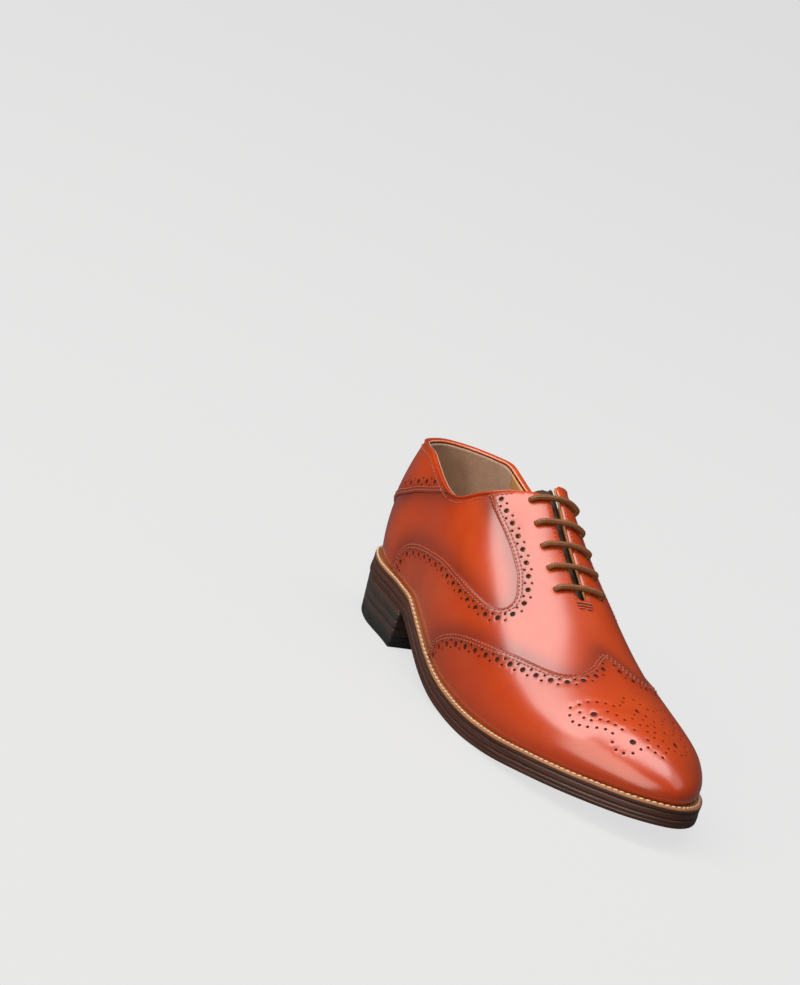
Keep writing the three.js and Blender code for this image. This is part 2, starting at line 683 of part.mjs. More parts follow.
// eyelet rings, set blind on the inside of the lining
for (const e of eyelets) {
  const ring = new THREE.LatheGeometry([
    new THREE.Vector2(2.05, 0), new THREE.Vector2(3.4, 0), new THREE.Vector2(3.4, 0.8),
    new THREE.Vector2(2.05, 0.8), new THREE.Vector2(2.05, 0)], 10);
  const at = -RING_DEPTH - 0.8;
  const name = `eyelet_${e.side < 0 ? 'lateral' : 'medial'}_${e.row}`;
  add(name, toSolid(outward(mergeVertices(alongNormal(ring, e, at)))), 'steel');
}

// ------------------------------------------------------------------ tongue
const TONGUE_DEPTH = 9.8;
const TONGUE_ROOT = CALF + LINING + 4 * GAP;
const TONGUE_FROM = 109;
const TONGUE_TO = 186;
const tongueSteps = [110, 121.5, 133.5, 145.5, 157.5, 169.5, 174, 180, 186];
add('tongue', sheet(tongueSteps.length - 1, 6, (s, t, w) => {
  const x = tongueSteps[Math.round(s * (tongueSteps.length - 1))];
  const a = (t - 0.5) * 2;
  const half = 27 - 7 * ((x - TONGUE_FROM) / (TONGUE_TO - TONGUE_FROM));
  const side = a < 0 ? -1 : 1;
  const g = sideG(side, x);
  // the foot of the tongue rises to meet the vamp lining, where it is sewn in
  const rise = THREE.MathUtils.clamp((x - 173) / (TONGUE_TO - 173), 0, 1);
  const depth = TONGUE_DEPTH + (TONGUE_ROOT - TONGUE_DEPTH) * rise + (w > 0.5 ? 0 : TONGUE);
  if (Math.abs(a) < 1e-6) return new THREE.Vector3(x, axisY(x), ridge(x) - depth * 1.12);
  const v = vAtSide(g, Math.abs(a) * half);
  return skin(g, v, -depth);
}), 'lining');

// ------------------------------------------------------------------- lace
// Straight bars outside; between them the lace runs lengthwise inside, under the
// facings, and both ends are tucked down the sides of the shoe.
const BEND = 2;
const OVER = LACE_RADIUS + 0.4;
const UNDER = -(RING_DEPTH + 0.8 + GAP) - LACE_RADIUS;
const LANE = 3.7;

const eyelet = (side, row) => eyelets.find((e) => e.side === side && e.row === row);
function lacePoint(x, y, off) {
  const g = sideG(y < 0 ? -1 : 1, x);
  return skin(g, Math.abs(y) < 0.5 ? 0.99 : vAtSide(g, Math.abs(y)), off);
}
// quarter turn between the axis of a hole and a direction along the leather
function turn(e, towards, level, sign) {
  const along = towards.clone().sub(e.at);
  along.addScaledVector(e.normal, -along.dot(e.normal)).normalize();
  return [5, 40, 75].map((degrees) => {
    const a = (degrees * Math.PI) / 180;
    return e.at.clone()
      .addScaledVector(e.normal, level - sign * BEND * (1 - Math.sin(a)))
      .addScaledVector(along, BEND * (1 - Math.cos(a)));
  });
}
function bar(row, from) {
  const x = EYELET_X[row - 1];
  const across = [9, 4.5, 0, -4.5, -9].map((y) => lacePoint(x, from * y, OVER));
  return [...turn(eyelet(from, row), lacePoint(x, from * 6, 0), OVER, 1), ...across,
    ...turn(eyelet(-from, row), lacePoint(x, -from * 6, 0), OVER, 1).reverse()];
}
function run(side, fromRow, toRow, lane) {
  const x0 = EYELET_X[fromRow - 1];
  const x1 = EYELET_X[toRow - 1];
  const step = Math.sign(x1 - x0);
  const at = (x, shift) => lacePoint(x, side * (EYELET_SIDE + shift), UNDER);
  const mid = [];
  if (Math.abs(toRow - fromRow) > 1) {
    for (const t of [0.3, 0.5, 0.7]) mid.push(at(x0 + (x1 - x0) * t, lane));
  } else mid.push(at((x0 + x1) / 2, 0));
  return [...turn(eyelet(side, fromRow), at(x0 + 6 * step, lane * 0.3), UNDER, -1), ...mid,
    ...turn(eyelet(side, toRow), at(x1 - 6 * step, lane * 0.3), UNDER, -1).reverse()];
}
// from the last eyelet down the side wall and forward along the insole
function tail(side, row) {
  const x = EYELET_X[row - 1];
  const wall = [[3, 0.74], [8, 0.6], [13, 0.47], [18, 0.35], [24, 0.24], [33, 0.17]].map(([dx, v]) => {
    const g = sideG(side, x + dx);
    return skin(g, v, UNDER + 0.4);
  });
  const floor = [[44, 0], [58, 2], [72, 4]].map(([dx, inwards]) => {
    const s = station(sideG(side, x + dx));
    const y = s.cy + side * (s.feather - 9.5 - inwards);
    return new THREE.Vector3(x + dx, y, underside(x + dx) + INSOLE_TOP + LACE_RADIUS + 0.8);
  });
  return [...turn(eyelet(side, row), wall[0], UNDER, -1), ...wall, ...floor];
}
const laceRoute = [
  ...tail(-1, 2).reverse(), ...bar(2, -1), ...run(1, 2, 4, LANE), ...bar(4, 1), ...run(-1, 4, 5, 0),
  ...bar(5, -1), ...run(1, 5, 3, -LANE), ...bar(3, 1), ...run(-1, 3, 1, -LANE), ...bar(1, -1), ...tail(1, 1),
];

// a closed round tube through a list of points
function tube(points, radius, sides) {
  const n = points.length - 1;
  const tangents = points.map((_, i) => points[Math.min(i + 1, n)].clone()
    .sub(points[Math.max(i - 1, 0)]).normalize());
  const across = [new THREE.Vector3(0, 0, 1).cross(tangents[0]).normalize()];
  for (let i = 1; i <= n; i += 1) {
    const along = -across[i - 1].dot(tangents[i]);
    across.push(across[i - 1].clone().addScaledVector(tangents[i], along).normalize());
  }
  const geometry = new THREE.CylinderGeometry(radius, radius, 1, sides, n);
  const pos = geometry.attributes.position;
  for (let i = 0; i < pos.count; i += 1) {
    const k = Math.round((pos.getY(i) + 0.5) * n);
    const p = points[k].clone()
      .addScaledVector(across[k], pos.getX(i))
      .addScaledVector(tangents[k].clone().cross(across[k]), pos.getZ(i));
    pos.setXYZ(i, p.x, p.y, p.z);
  }
  return toSolid(outward(geometry));
}
add('lace', tube(laceRoute, LACE_RADIUS, 6), 'cord');
for (const [name, end, before] of [['lateral', laceRoute[0], laceRoute[1]],
  ['medial', laceRoute[laceRoute.length - 1], laceRoute[laceRoute.length - 2]]]) {
  const way = end.clone().sub(before).normalize().add(new THREE.Vector3(0, 0, 0.06)).normalize();
  const ends = [GAP, AGLET].map((along) => end.clone().addScaledVector(way, along));
  add(`aglet_${name}`, tube(ends, AGLET_RADIUS, 8), 'cord');
}

// thread bar that holds the facings together at the foot of the slit
add('throat_tack', sheet(2, 6, (s, t, w) => {
  const x = THROAT_END + 1.5 + 4 * s;
  const y = (t - 0.5) * 9;
  const off = w > 0.5 ? GAP + 0.9 : GAP;
  return Math.abs(y) < 0.1 ? new THREE.Vector3(x, axisY(x), ridge(x) + off) : lacePoint(x, y, off);
}), 'thread');

// origin at the bottom centre of the whole shoe
shoe.updateMatrixWorld(true);
const bounds = new THREE.Box3().setFromObject(shoe);
shoe.position.set(-(bounds.min.x + bounds.max.x) / 2, -(bounds.min.y + bounds.max.y) / 2, -bounds.min.z);
shoe.name = 'shoe';

export default shoe;
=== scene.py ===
# %% [markdown]
# # A leather oxford shoe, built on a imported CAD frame
# The CAD frame holds every piece of the shoe as a plain solid at its true place and size.
# This lesson puts the finished leather, thread and sole edges around it. The uppers of a real
# shoe are cut flat, punched, sewn and then pulled over a last, so the last comes first here
# too, as a formula that every later piece is laid on.

# %% Load the frame
import math
import bmesh
import bpy
import numpy as np
from mathutils import Matrix, Vector
from mathutils.geometry import delaunay_2d_cdt
from mathutils.kdtree import KDTree


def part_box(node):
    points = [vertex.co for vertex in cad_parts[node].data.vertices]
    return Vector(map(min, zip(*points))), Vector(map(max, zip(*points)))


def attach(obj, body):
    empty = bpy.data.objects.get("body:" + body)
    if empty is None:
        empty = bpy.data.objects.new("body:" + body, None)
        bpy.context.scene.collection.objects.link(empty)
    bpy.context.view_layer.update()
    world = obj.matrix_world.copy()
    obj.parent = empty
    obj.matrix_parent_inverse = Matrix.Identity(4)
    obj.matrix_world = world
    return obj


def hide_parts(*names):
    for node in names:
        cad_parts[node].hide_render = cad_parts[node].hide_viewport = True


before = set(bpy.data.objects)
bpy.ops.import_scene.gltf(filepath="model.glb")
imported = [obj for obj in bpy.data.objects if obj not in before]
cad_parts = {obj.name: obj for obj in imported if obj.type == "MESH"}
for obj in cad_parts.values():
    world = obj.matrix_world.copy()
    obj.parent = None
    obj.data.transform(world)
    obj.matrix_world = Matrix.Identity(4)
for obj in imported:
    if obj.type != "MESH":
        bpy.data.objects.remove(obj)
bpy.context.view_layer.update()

MM = 0.001

# %% [markdown]
# ## The camera
# A long lens from 2.6 m away keeps the shoe's proportions honest. The camera is rolled, so the
# toe points down to the right as it does when one shoe leans on another.

# %% Camera
AZIMUTH, ELEVATION, ROLL = math.radians(56.905), math.radians(14.975), math.radians(19.71)
DISTANCE = 2.638
LENS = 184.2
AIM = Vector((-0.0651, -0.0720, 0.0915))

back = Vector((math.sin(AZIMUTH) * math.cos(ELEVATION), -math.cos(AZIMUTH) * math.cos(ELEVATION),
               math.sin(ELEVATION)))
level = back.to_track_quat("Z", "Y").to_matrix()
turn_about_view = Matrix.Rotation(ROLL, 3, "Z")
lens = bpy.data.cameras.new("camera")
lens.lens = LENS
lens.clip_end = 100
camera = bpy.data.objects.new("camera", lens)
bpy.context.scene.collection.objects.link(camera)
camera.matrix_world = Matrix.Translation(AIM + back * DISTANCE) @ (level @ turn_about_view).to_4x4()
bpy.context.scene.camera = camera
print("camera right axis:", [round(c, 3) for c in camera.matrix_world.col[0][:3]])

# %% [markdown]
# ## Floor and light
# A wide pale floor and soft studio boxes. Polished calf shows its lights as broad patches, so
# the size and place of each box decides where the highlights lie on the vamp and the toe.

# %% Floor, world and lights
FLOOR_TONE, FLOOR_GLOW = 0.09, 0.69
AMBIENT = 0.05


def new_material(name):
    """A fresh node material: its node tree and its Principled shader."""
    material = bpy.data.materials.new(name)
    material.use_nodes = True
    return material, material.node_tree, material.node_tree.nodes["Principled BSDF"]


floor_mesh = bmesh.new()
bmesh.ops.create_grid(floor_mesh, x_segments=2, y_segments=2, size=30)
floor_data = bpy.data.meshes.new("floor")
floor_mesh.to_mesh(floor_data)
floor = bpy.data.objects.new("floor", floor_data)
bpy.context.scene.collection.objects.link(floor)
floor_look, floor_tree, floor_shader = new_material("floor")
floor_shader.inputs["Base Color"].default_value = (FLOOR_TONE, FLOOR_TONE, FLOOR_TONE, 1)
floor_shader.inputs["Roughness"].default_value = 0.85
floor_shader.inputs["Specular IOR Level"].default_value = 0.2
# the floor glows for the camera alone, as a lit paper sweep does, so its white can't wash the leather
paths = floor_tree.nodes.new("ShaderNodeLightPath")
glow = floor_tree.nodes.new("ShaderNodeMath")
glow.operation = "MULTIPLY"
glow.inputs[1].default_value = FLOOR_GLOW
floor_tree.links.new(paths.outputs["Is Camera Ray"], glow.inputs[0])
floor_tree.links.new(glow.outputs[0], floor_shader.inputs["Emission Strength"])
floor_shader.inputs["Emission Color"].default_value = (1, 1, 1, 1)
floor_data.materials.append(floor_look)

world = bpy.data.worlds.new("studio")
world.use_nodes = True
world.node_tree.nodes["Background"].inputs["Color"].default_value = (1, 1, 1, 1)
world.node_tree.nodes["Background"].inputs["Strength"].default_value = AMBIENT
bpy.context.scene.world = world
bpy.context.scene.view_settings.view_transform = "Standard"


def soft_box(name, azimuth, elevation, distance, width, height, watts, colour=(1, 1, 1)):
    """A soft box at a bearing round the shoe, turned to face it."""
    a, e = math.radians(azimuth), math.radians(elevation)
    away = Vector((math.sin(a) * math.cos(e), -math.cos(a) * math.cos(e), math.sin(e)))
    light = bpy.data.lights.new(name, "AREA")
    light.shape, light.size, light.size_y, light.energy = "RECTANGLE", width, height, watts
    light.color = colour
    box = bpy.data.objects.new(name, light)
    bpy.context.scene.collection.objects.link(box)
    facing_shoe = away.to_track_quat("Z", "Y").to_matrix().to_4x4()
    box.matrix_world = Matrix.Translation(away * distance) @ facing_shoe


soft_box("key_box", -28, 74, 2.2, 1.2, 4.0, 54)
soft_box("fill_box", 28, 28, 3.4, 5.0, 3.4, 124, (1, 0.94, 0.84))
soft_box("far_box", 150, 50, 2.6, 1.6, 1.0, 5)

# %% [markdown]
# ## The last
# A last is the solid foot-shaped form that a shoe is pulled over. Its plan is the sole's
# outline taken in by the welt; its sections are flat-sided at the feather line, swell a little
# and then close over the instep. Each point has two numbers: g runs round the shoe (0 to 1
# along the outer side, 1 to 2 round the toe, 2 to 3 along the inner side, 3 to 4 round the
# heel) and v climbs from the feather line, 0, to the ridge of the instep, 1.

# %% Outlines and profiles, in millimetres from the back of the heel
OUTER_EDGE = [[2, 9], [9, 20.5], [30, 30.8], [60, 35], [95, 41.5], [130, 47.5], [165, 50.5],
              [195, 51], [225, 48.2], [255, 39.2], [282, 24.4], [298, 10]]
TIP = [305.7, 8.2]
INNER_EDGE = [[301, 22], [285, 37], [260, 49.5], [232, 55], [205, 53.5], [175, 47], [145, 38.5],
              [115, 32.5], [85, 30.5], [55, 32.8], [28, 32], [8, 19.5], [2, 9]]
SOLE_UNDERSIDE = [[0, 22.5], [70, 22.5], [78, 22.5], [84, 21.8], [94, 18.7], [110, 13.2],
                  [128, 7.4], [146, 3], [164, 0.9], [178, 0.2], [190, 0.2], [200, 0.7], [216, 2],
                  [240, 4.9], [275, 8.8], [306, 12.3]]
OUTSOLE, MIDSOLE, WELT, GAP = 4.5, 3, 2.9, 0.3
MIDSOLE_LOW = OUTSOLE + GAP
WELT_LOW = MIDSOLE_LOW + MIDSOLE + GAP
WELT_TOP = WELT_LOW + WELT
INSOLE_LOW, INSOLE_TOP = WELT_LOW + 2 + GAP, WELT_LOW + 2 + GAP + 2.5
WELT_SHELF = [[0, 2.4], [80, 2.9], [130, 3.5], [190, 4.9], [260, 5.2], [306, 6.8]]
UNDER_UPPER = 4.2
HEEL_PIVOT, TOE_PIVOT, AXIS_TOE = 34, 262, 3.3
RIDGE = [[34, 128], [75, 132], [112, 118.5], [140, 100], [170, 82], [200, 66.2], [230, 55.6],
         [262, 48.6], [300, 41]]
FULLNESS = [[0, 2.9], [60, 2.7], [110, 2.7], [160, 2.6], [215, 2.3], [262, 2.4], [300, 2.4]]
SWELL_OUTER = [[0, 3.2], [60, 3.2], [120, 3.8], [180, 3], [240, 2.2], [306, 2.2]]
SWELL_INNER = [[0, 3], [60, 3.4], [110, 8], [150, 7], [190, 3.2], [240, 2.8], [306, 2.3]]


def profile(table):
    """Smooth curve through [x, value] pairs, level beyond its ends."""
    xs, ys = (np.array(column, float) for column in zip(*table))
    n = len(xs) - 1
    after, before = np.minimum(np.arange(n + 1) + 1, n), np.maximum(np.arange(n + 1) - 1, 0)
    slopes = (ys[after] - ys[before]) / (xs[after] - xs[before])

    def value(x):
        x = np.clip(np.asarray(x, float), xs[0], xs[-1])
        i = np.clip(np.searchsorted(xs, x, side="right") - 1, 0, n - 1)
        h = xs[i + 1] - xs[i]
        t = (x - xs[i]) / h
        return ((1 + 2 * t) * (1 - t) ** 2 * ys[i] + t * (1 - t) ** 2 * h * slopes[i]
                + t * t * (3 - 2 * t) * ys[i + 1] + t * t * (t - 1) * h * slopes[i + 1])
    return value


def smooth_line(points, per_span, closed=False):
    """Centripetal curve through points, with per_span steps between each two."""
    p = np.array(points, float)
    n = len(p)
    spans = n if closed else n - 1
    made = []
    for i in range(spans):
        b, c = p[i], p[(i + 1) % n]
        a = p[i - 1] if closed or i > 0 else 2 * b - c
        d = p[(i + 2) % n] if closed or i + 2 < n else 2 * c - b
        ab, bc, cd = (max(math.sqrt(math.dist(u, w)), 1e-4) for u, w in ((a, b), (b, c), (c, d)))
        first = ((b - a) / ab - (c - a) / (ab + bc) + (c - b) / bc) * bc
        second = ((c - b) / bc - (d - b) / (bc + cd) + (d - c) / cd) * bc
        for k in range(per_span):
            t = k / per_span
            made.append(b + first * t + (3 * (c - b) - 2 * first - second) * t * t
                        + (2 * (b - c) + first + second) * t ** 3)
    if not closed:
        made.append(p[-1])
    return np.array(made)


underside, welt_shelf, ridge, fullness = map(profile, (SOLE_UNDERSIDE, WELT_SHELF, RIDGE, FULLNESS))
swell_outer, swell_inner = profile(SWELL_OUTER), profile(SWELL_INNER)


def axis_y(x):
    return AXIS_TOE * np.clip((np.asarray(x, float) - HEEL_PIVOT) / (TOE_PIVOT - HEEL_PIVOT), 0, 1)


plan = smooth_line([[0, 0]] + [[x, -y] for x, y in OUTER_EDGE] + [TIP] + INNER_EDGE, 38, closed=True)
outsole_low, outsole_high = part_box("outsole")
SHIFT = np.array([outsole_high.x / MM - TIP[0], outsole_low.y / MM - plan[:, 1].min(), 0])
print("sole outline:", len(plan), "points; shift to the frame in mm:", SHIFT.round(2))


def to_frame(points):
    """Millimetres from the back of the heel to metres in the frame."""
    return (np.asarray(points, float) + SHIFT) * MM


# %% Rays and the surface of the last
ROUND_STEPS = 400


def ray(g):
    """Where the section at g starts and the way it faces."""
    g = np.mod(np.asarray(g, float), 4)
    run = TOE_PIVOT - HEEL_PIVOT
    sides = [g <= 1, g < 2, g <= 3]
    x = np.select(sides, [HEEL_PIVOT + g * run, TOE_PIVOT, TOE_PIVOT - (g - 2) * run], HEEL_PIVOT)
    angle = np.select(sides, [-90, -90 + (g - 1) * 180, 90], 90 + (g - 3) * 180) * math.pi / 180
    return x, axis_y(x), np.cos(angle), np.sin(angle)


def reach(x, y, dx, dy):
    """Distance from points along rays to the sole outline."""
    x, y, dx, dy = (np.asarray(a, float)[..., None] for a in (x, y, dx, dy))
    a, b = plan, np.roll(plan, -1, 0)
    ax, ay, bx, by = a[:, 0] - x, a[:, 1] - y, b[:, 0] - x, b[:, 1] - y
    side_a, side_b = dx * ay - dy * ax, dx * by - dy * bx
    crosses = (side_a * side_b <= 0) & (side_a != side_b)
    t = side_a / np.where(crosses, side_a - side_b, 1)
    return np.max(np.where(crosses, dx * (ax + t * (bx - ax)) + dy * (ay + t * (by - ay)), 0), -1)


round_g = np.linspace(0, 4, 4 * ROUND_STEPS + 1)
round_edge = reach(*ray(round_g))


def section(g):
    """Everything that the section at g is made from."""
    x, y, dx, dy = ray(g)
    edge = np.interp(np.mod(g, 4), round_g, round_edge)
    feather = edge - welt_shelf(x + edge * dx)
    fx = x + feather * dx
    inner = 0.5 + 0.5 * dy
    swell = swell_outer(fx) * (1 - inner) + swell_inner(fx) * inner
    return x, y, dx, dy, edge, feather, fullness(fx), swell, underside(fx) + WELT_TOP


def last(g, v):
    """Points on the last."""
    x, y, dx, dy, _, feather, n, swell, base = section(g)
    phi = np.clip(v, 0, 1) * math.pi / 2
    up = np.clip(np.sin(phi), 0, 1) ** (2 / n)
    out = np.clip(np.cos(phi), 1e-9, 1) ** (2 / n)
    r = feather * out + swell * 6.75 * up * (1 - up) ** 2
    px = x + r * dx
    return np.stack(np.broadcast_arrays(px, y + r * dy, base + (ridge(px) - base) * up), -1)


def run_of(points):
    """The length of a line up to each of its points."""
    return np.concatenate([[0], np.cumsum(np.linalg.norm(np.diff(points, axis=0), axis=1))])


def unit(a):
    return a / np.maximum(np.linalg.norm(a, axis=-1, keepdims=True), 1e-12)


def outward(g, v):
    """Unit normals of the last."""
    step_g, step_v = 0.004, 0.006
    g, v = np.broadcast_arrays(np.asarray(g, float), np.asarray(v, float))
    w = np.clip(v, 0.001, 1 - step_v)
    a = last(g + step_g, w) - last(g - step_g, w)
    b = last(g, w + step_v) - last(g, np.maximum(w - step_v, 0.002))
    n = unit(np.cross(a, b))
    n[..., 1] = np.where(v > 0.985, 0, n[..., 1])
    low = np.clip(1 - v / 0.12, 0, 1)[..., None]
    flat = unit(n * [1, 1, 0])
    return unit(n * (1 - low) + flat * low)


def skin(g, v, off):
    """Points at a distance outside (+) or inside (-) the last."""
    return last(g, v) + outward(g, v) * np.asarray(off, float)[..., None]


def side_g(side, x):
    t = (np.asarray(x, float) - HEEL_PIVOT) / (TOE_PIVOT - HEEL_PIVOT)
    return np.where(np.asarray(side) < 0, t, 3 - t)


def g_at(side, x):
    return float(side_g(side, x))


def halve(test, low, high):
    """The values between low and high where test turns positive."""
    low, high = np.asarray(low, float), np.asarray(high, float)
    for _ in range(36):
        middle = (low + high) / 2
        over = np.asarray(test(middle)) > 0
        low, high = np.where(over, low, middle), np.where(over, middle, high)
    return (low + high) / 2


def v_at_height(g, z):
    return halve(lambda v: last(g, v)[..., 2] - z, np.zeros(np.shape(g)), np.ones(np.shape(g)))


def v_at_side(g, d):
    centre = ray(g)[1]
    low, high = np.full(np.shape(g), 0.3), np.ones(np.shape(g))
    return halve(lambda v: d - np.abs(last(g, v)[..., 1] - centre), low, high)


print("ridge at the throat in mm:", last(0.35, 1.0).round(1))

# %% [markdown]
# ## Flattening the last
# A pattern cutter covers the last with tape, cuts the tape off and presses it flat. Two such
# flat patterns are used. One opens the forepart down the ridge, with distances measured down
# from the ridge. The other unwraps the back of the shoe round the heel, with distances measured
# up from the feather line. Shapes drawn on a pattern go back on to the last by the same sums.

# %% Two flat patterns
RISE_STEPS = 200
rise_v = np.linspace(0, 1, RISE_STEPS + 1)
wall = last(round_g[:, None], rise_v[None, :])
wall_steps = np.linalg.norm(np.diff(wall, axis=1), axis=2)
height_up = np.concatenate([np.zeros((len(round_g), 1)), np.cumsum(wall_steps, 1)], 1)
wrap_u = np.linspace(-1, 2, 1201)
wrap_line = last(np.mod(-wrap_u, 4), np.full(wrap_u.shape, 0.45))
wrap_s = run_of(wrap_line)
wrap_s = -(wrap_s - np.interp(0, wrap_u, wrap_s))


def climb(g, v):
    """Length of the wall from the feather line up to v."""
    gi = np.mod(g, 4) * ROUND_STEPS
    vi = np.clip(v, 0, 1) * RISE_STEPS
    g0, v0 = np.minimum(gi.astype(int), 4 * ROUND_STEPS - 1), np.minimum(vi.astype(int), RISE_STEPS - 1)
    a, b = gi - g0, vi - v0
    low = height_up[g0, v0] * (1 - a) + height_up[g0 + 1, v0] * a
    high = height_up[g0, v0 + 1] * (1 - a) + height_up[g0 + 1, v0 + 1] * a
    return low * (1 - b) + high * b


def v_of_climb(g, length):
    gi = np.mod(g, 4) * ROUND_STEPS
    found = np.empty(len(gi))
    for k, position in enumerate(gi):
        row = min(int(position), 4 * ROUND_STEPS - 1)
        share = position - row
        found[k] = np.interp(length[k], height_up[row] * (1 - share) + height_up[row + 1] * share, rise_v)
    return found


class ForePattern:
    """Flat pattern opened down the ridge."""

    @staticmethod
    def flat(g, v):
        g, v = np.broadcast_arrays(np.asarray(g, float), np.asarray(v, float))
        x, y, dx, dy = ray(g)
        down = climb(g, np.ones(g.shape)) - climb(g, v)
        return np.stack([x + down * dx, y + down * dy], -1)

    @staticmethod
    def back(q):
        x, y = q[:, 0], q[:, 1]
        toe, heel = np.maximum(x - TOE_PIVOT, 0), np.minimum(x - HEEL_PIVOT, 0)
        off_axis = y - axis_y(x)
        toe_g = 1.5 + np.arctan2(off_axis, toe + 1e-12) / math.pi
        heel_angle = np.mod(np.arctan2(off_axis, heel - 1e-12), 2 * math.pi)
        along = (np.clip(x, HEEL_PIVOT, TOE_PIVOT) - HEEL_PIVOT) / (TOE_PIVOT - HEEL_PIVOT)
        side = np.where(off_axis < 0, along, 3 - along)
        g = np.where(toe > 0, toe_g, np.where(heel < 0, 2.5 + heel_angle / math.pi, side))
        down = np.hypot(off_axis, toe + heel)
        return g, v_of_climb(g, climb(g, np.ones(len(g))) - down)


class HeelPattern:
    """Flat pattern unwrapped round the heel, the outer side to the right."""

    @staticmethod
    def flat(g, v):
        g, v = np.broadcast_arrays(np.asarray(g, float), np.asarray(v, float))
        g = np.mod(g, 4)
        u = np.where(g <= 1.0001, -g, 4 - g)
        return np.stack([np.interp(u, wrap_u, wrap_s), climb(g, v)], -1)

    @staticmethod
    def back(q):
        g = np.mod(-np.interp(-q[:, 0], -wrap_s, wrap_u), 4)
        return g, v_of_climb(g, q[:, 1])


def on_last(pattern, q, off=0.0):
    g, v = pattern.back(np.asarray(q, float))
    return skin(g, v, np.broadcast_to(off, g.shape))


def stretch(pattern, q):
    """How the pattern stretches on to the last at q: the two tangents, and the normal."""
    step = 0.15
    q = np.asarray(q, float)
    a = (on_last(pattern, q + [step, 0]) - on_last(pattern, q - [step, 0])) / (2 * step)
    b = (on_last(pattern, q + [0, step]) - on_last(pattern, q - [0, step])) / (2 * step)
    return a, b, unit(np.cross(a, b))


def pattern_step(pattern, q, move):
    """The step on the pattern that makes a 3D move on the last."""
    a, b, _ = stretch(pattern, q)
    aa, ab, bb = (a * a).sum(-1), (a * b).sum(-1), (b * b).sum(-1)
    ma, mb = (a * move).sum(-1), (b * move).sum(-1)
    det = aa * bb - ab * ab
    return np.stack([(bb * ma - ab * mb) / det, (aa * mb - ab * ma) / det], -1)


def at_runs(line, run, at):
    """The places on a line that lie at given lengths."""
    return np.stack([np.interp(at, run, line[:, k]) for k in range(line.shape[1])], -1)


def tangents_of(points, closed=False):
    if closed:
        return unit(np.roll(points, -1, 0) - np.roll(points, 1, 0))
    return unit(np.gradient(points, axis=0))


def evenly(pattern, line, pitch, closed=False, start=0.0):
    """Points along a pattern line, evenly spaced as measured on the last."""
    if closed:
        line = np.concatenate([line, line[:1]])
    run = run_of(on_last(pattern, line))
    count = max(int(round((run[-1] - 2 * start) / pitch)), 1)
    at = np.linspace(start, run[-1] - start, count + 1)
    if closed:
        at = at[:-1]
    return at_runs(line, run, at)


def beside(pattern, line, distance, closed=False):
    """The line moved to its left on the last by a distance in millimetres."""
    tangent = tangents_of(on_last(pattern, line), closed)
    left = np.cross(stretch(pattern, line)[2], tangent)
    return line + pattern_step(pattern, line, unit(left) * distance)


print("pattern widths in mm:", (wrap_s.max() - wrap_s.min()).round(0), height_up[:, -1].max().round(0))

# %% [markdown]
# ## Shared finishes
# Leather, thread, wood and steel here all need the same few effects: a fine grain, a soft
# mottling from dye and polish, and darker stain near seams. Each is a node group that gives out
# numbers only, so any material can use it with its own values.

# %% Node groups


def new_group(name, inputs, outputs):
    group = bpy.data.node_groups.new(name, "ShaderNodeTree")
    for label, kind, value in inputs:
        socket = group.interface.new_socket(label, in_out="INPUT", socket_type=kind)
        if value is not None:
            socket.default_value = value
    for label, kind in outputs:
        group.interface.new_socket(label, in_out="OUTPUT", socket_type=kind)
    return group, group.nodes.new("NodeGroupInput"), group.nodes.new("NodeGroupOutput")


def feed(tree, socket, value):
    """Link a socket to another one, or set its value."""
    if isinstance(value, bpy.types.NodeSocket):
        tree.links.new(value, socket)
    else:
        socket.default_value = value


def node(tree, kind, settings=None, inputs=None):
    """A node with its settings and input values or links."""
    made = tree.nodes.new(kind)
    for key, value in (settings or {}).items():
        setattr(made, key, value)
    for key, value in (inputs or {}).items():
        feed(tree, made.inputs[key], value)
    return made


def blend_colours(tree, factor, first, second):
    """Mix two colours; each may be a value or a link."""
    return node(tree, "ShaderNodeMix", {"data_type": "RGBA"}, {0: factor, 6: first, 7: second}).outputs[2]


def math_node(tree, operation, *values):
    return node(tree, "ShaderNodeMath", {"operation": operation}, dict(enumerate(values))).outputs[0]


def fit_range(tree, value, low, high, to_low=0.0, to_high=1.0):
    return node(tree, "ShaderNodeMapRange", {}, {"Value": value, "From Min": low, "From Max": high,
                                                 "To Min": to_low, "To Max": to_high}).outputs["Result"]


def object_place(tree):
    return tree.nodes.new("ShaderNodeTexCoord").outputs["Object"]


def make_grain_group():
    group, given, result = new_group(
        "grain", [("Vector", "NodeSocketVector", None), ("Size", "NodeSocketFloat", 900.0),
                  ("Mottle Size", "NodeSocketFloat", 45.0)],
        [("Height", "NodeSocketFloat"), ("Mottle", "NodeSocketFloat"), ("Cloud", "NodeSocketFloat")])
    vector, size, mottle_size = (given.outputs[key] for key in ("Vector", "Size", "Mottle Size"))

    def noise(scale, detail, roughness, distortion=0.0):
        return node(group, "ShaderNodeTexNoise", {}, {"Vector": vector, "Scale": scale, "Detail": detail,
                                                      "Roughness": roughness, "Distortion": distortion})
    cells = node(group, "ShaderNodeTexVoronoi", {"feature": "SMOOTH_F1"},
                 {"Vector": vector, "Scale": size, "Smoothness": 0.6})
    fine = noise(size, 3.0, 0.6)
    mottle = noise(mottle_size, 5.0, 0.62, 0.4)
    cloud = noise(math_node(group, "MULTIPLY", mottle_size, 0.3), 2.0, 0.5)
    height = math_node(group, "MULTIPLY_ADD", cells.outputs["Distance"], 0.6, fine.outputs["Fac"])
    feed(group, result.inputs["Height"], height)
    feed(group, result.inputs["Mottle"], fit_range(group, mottle.outputs["Fac"], 0.3, 0.7))
    feed(group, result.inputs["Cloud"], fit_range(group, cloud.outputs["Fac"], 0.35, 0.65))
    return group


grain_group = make_grain_group()


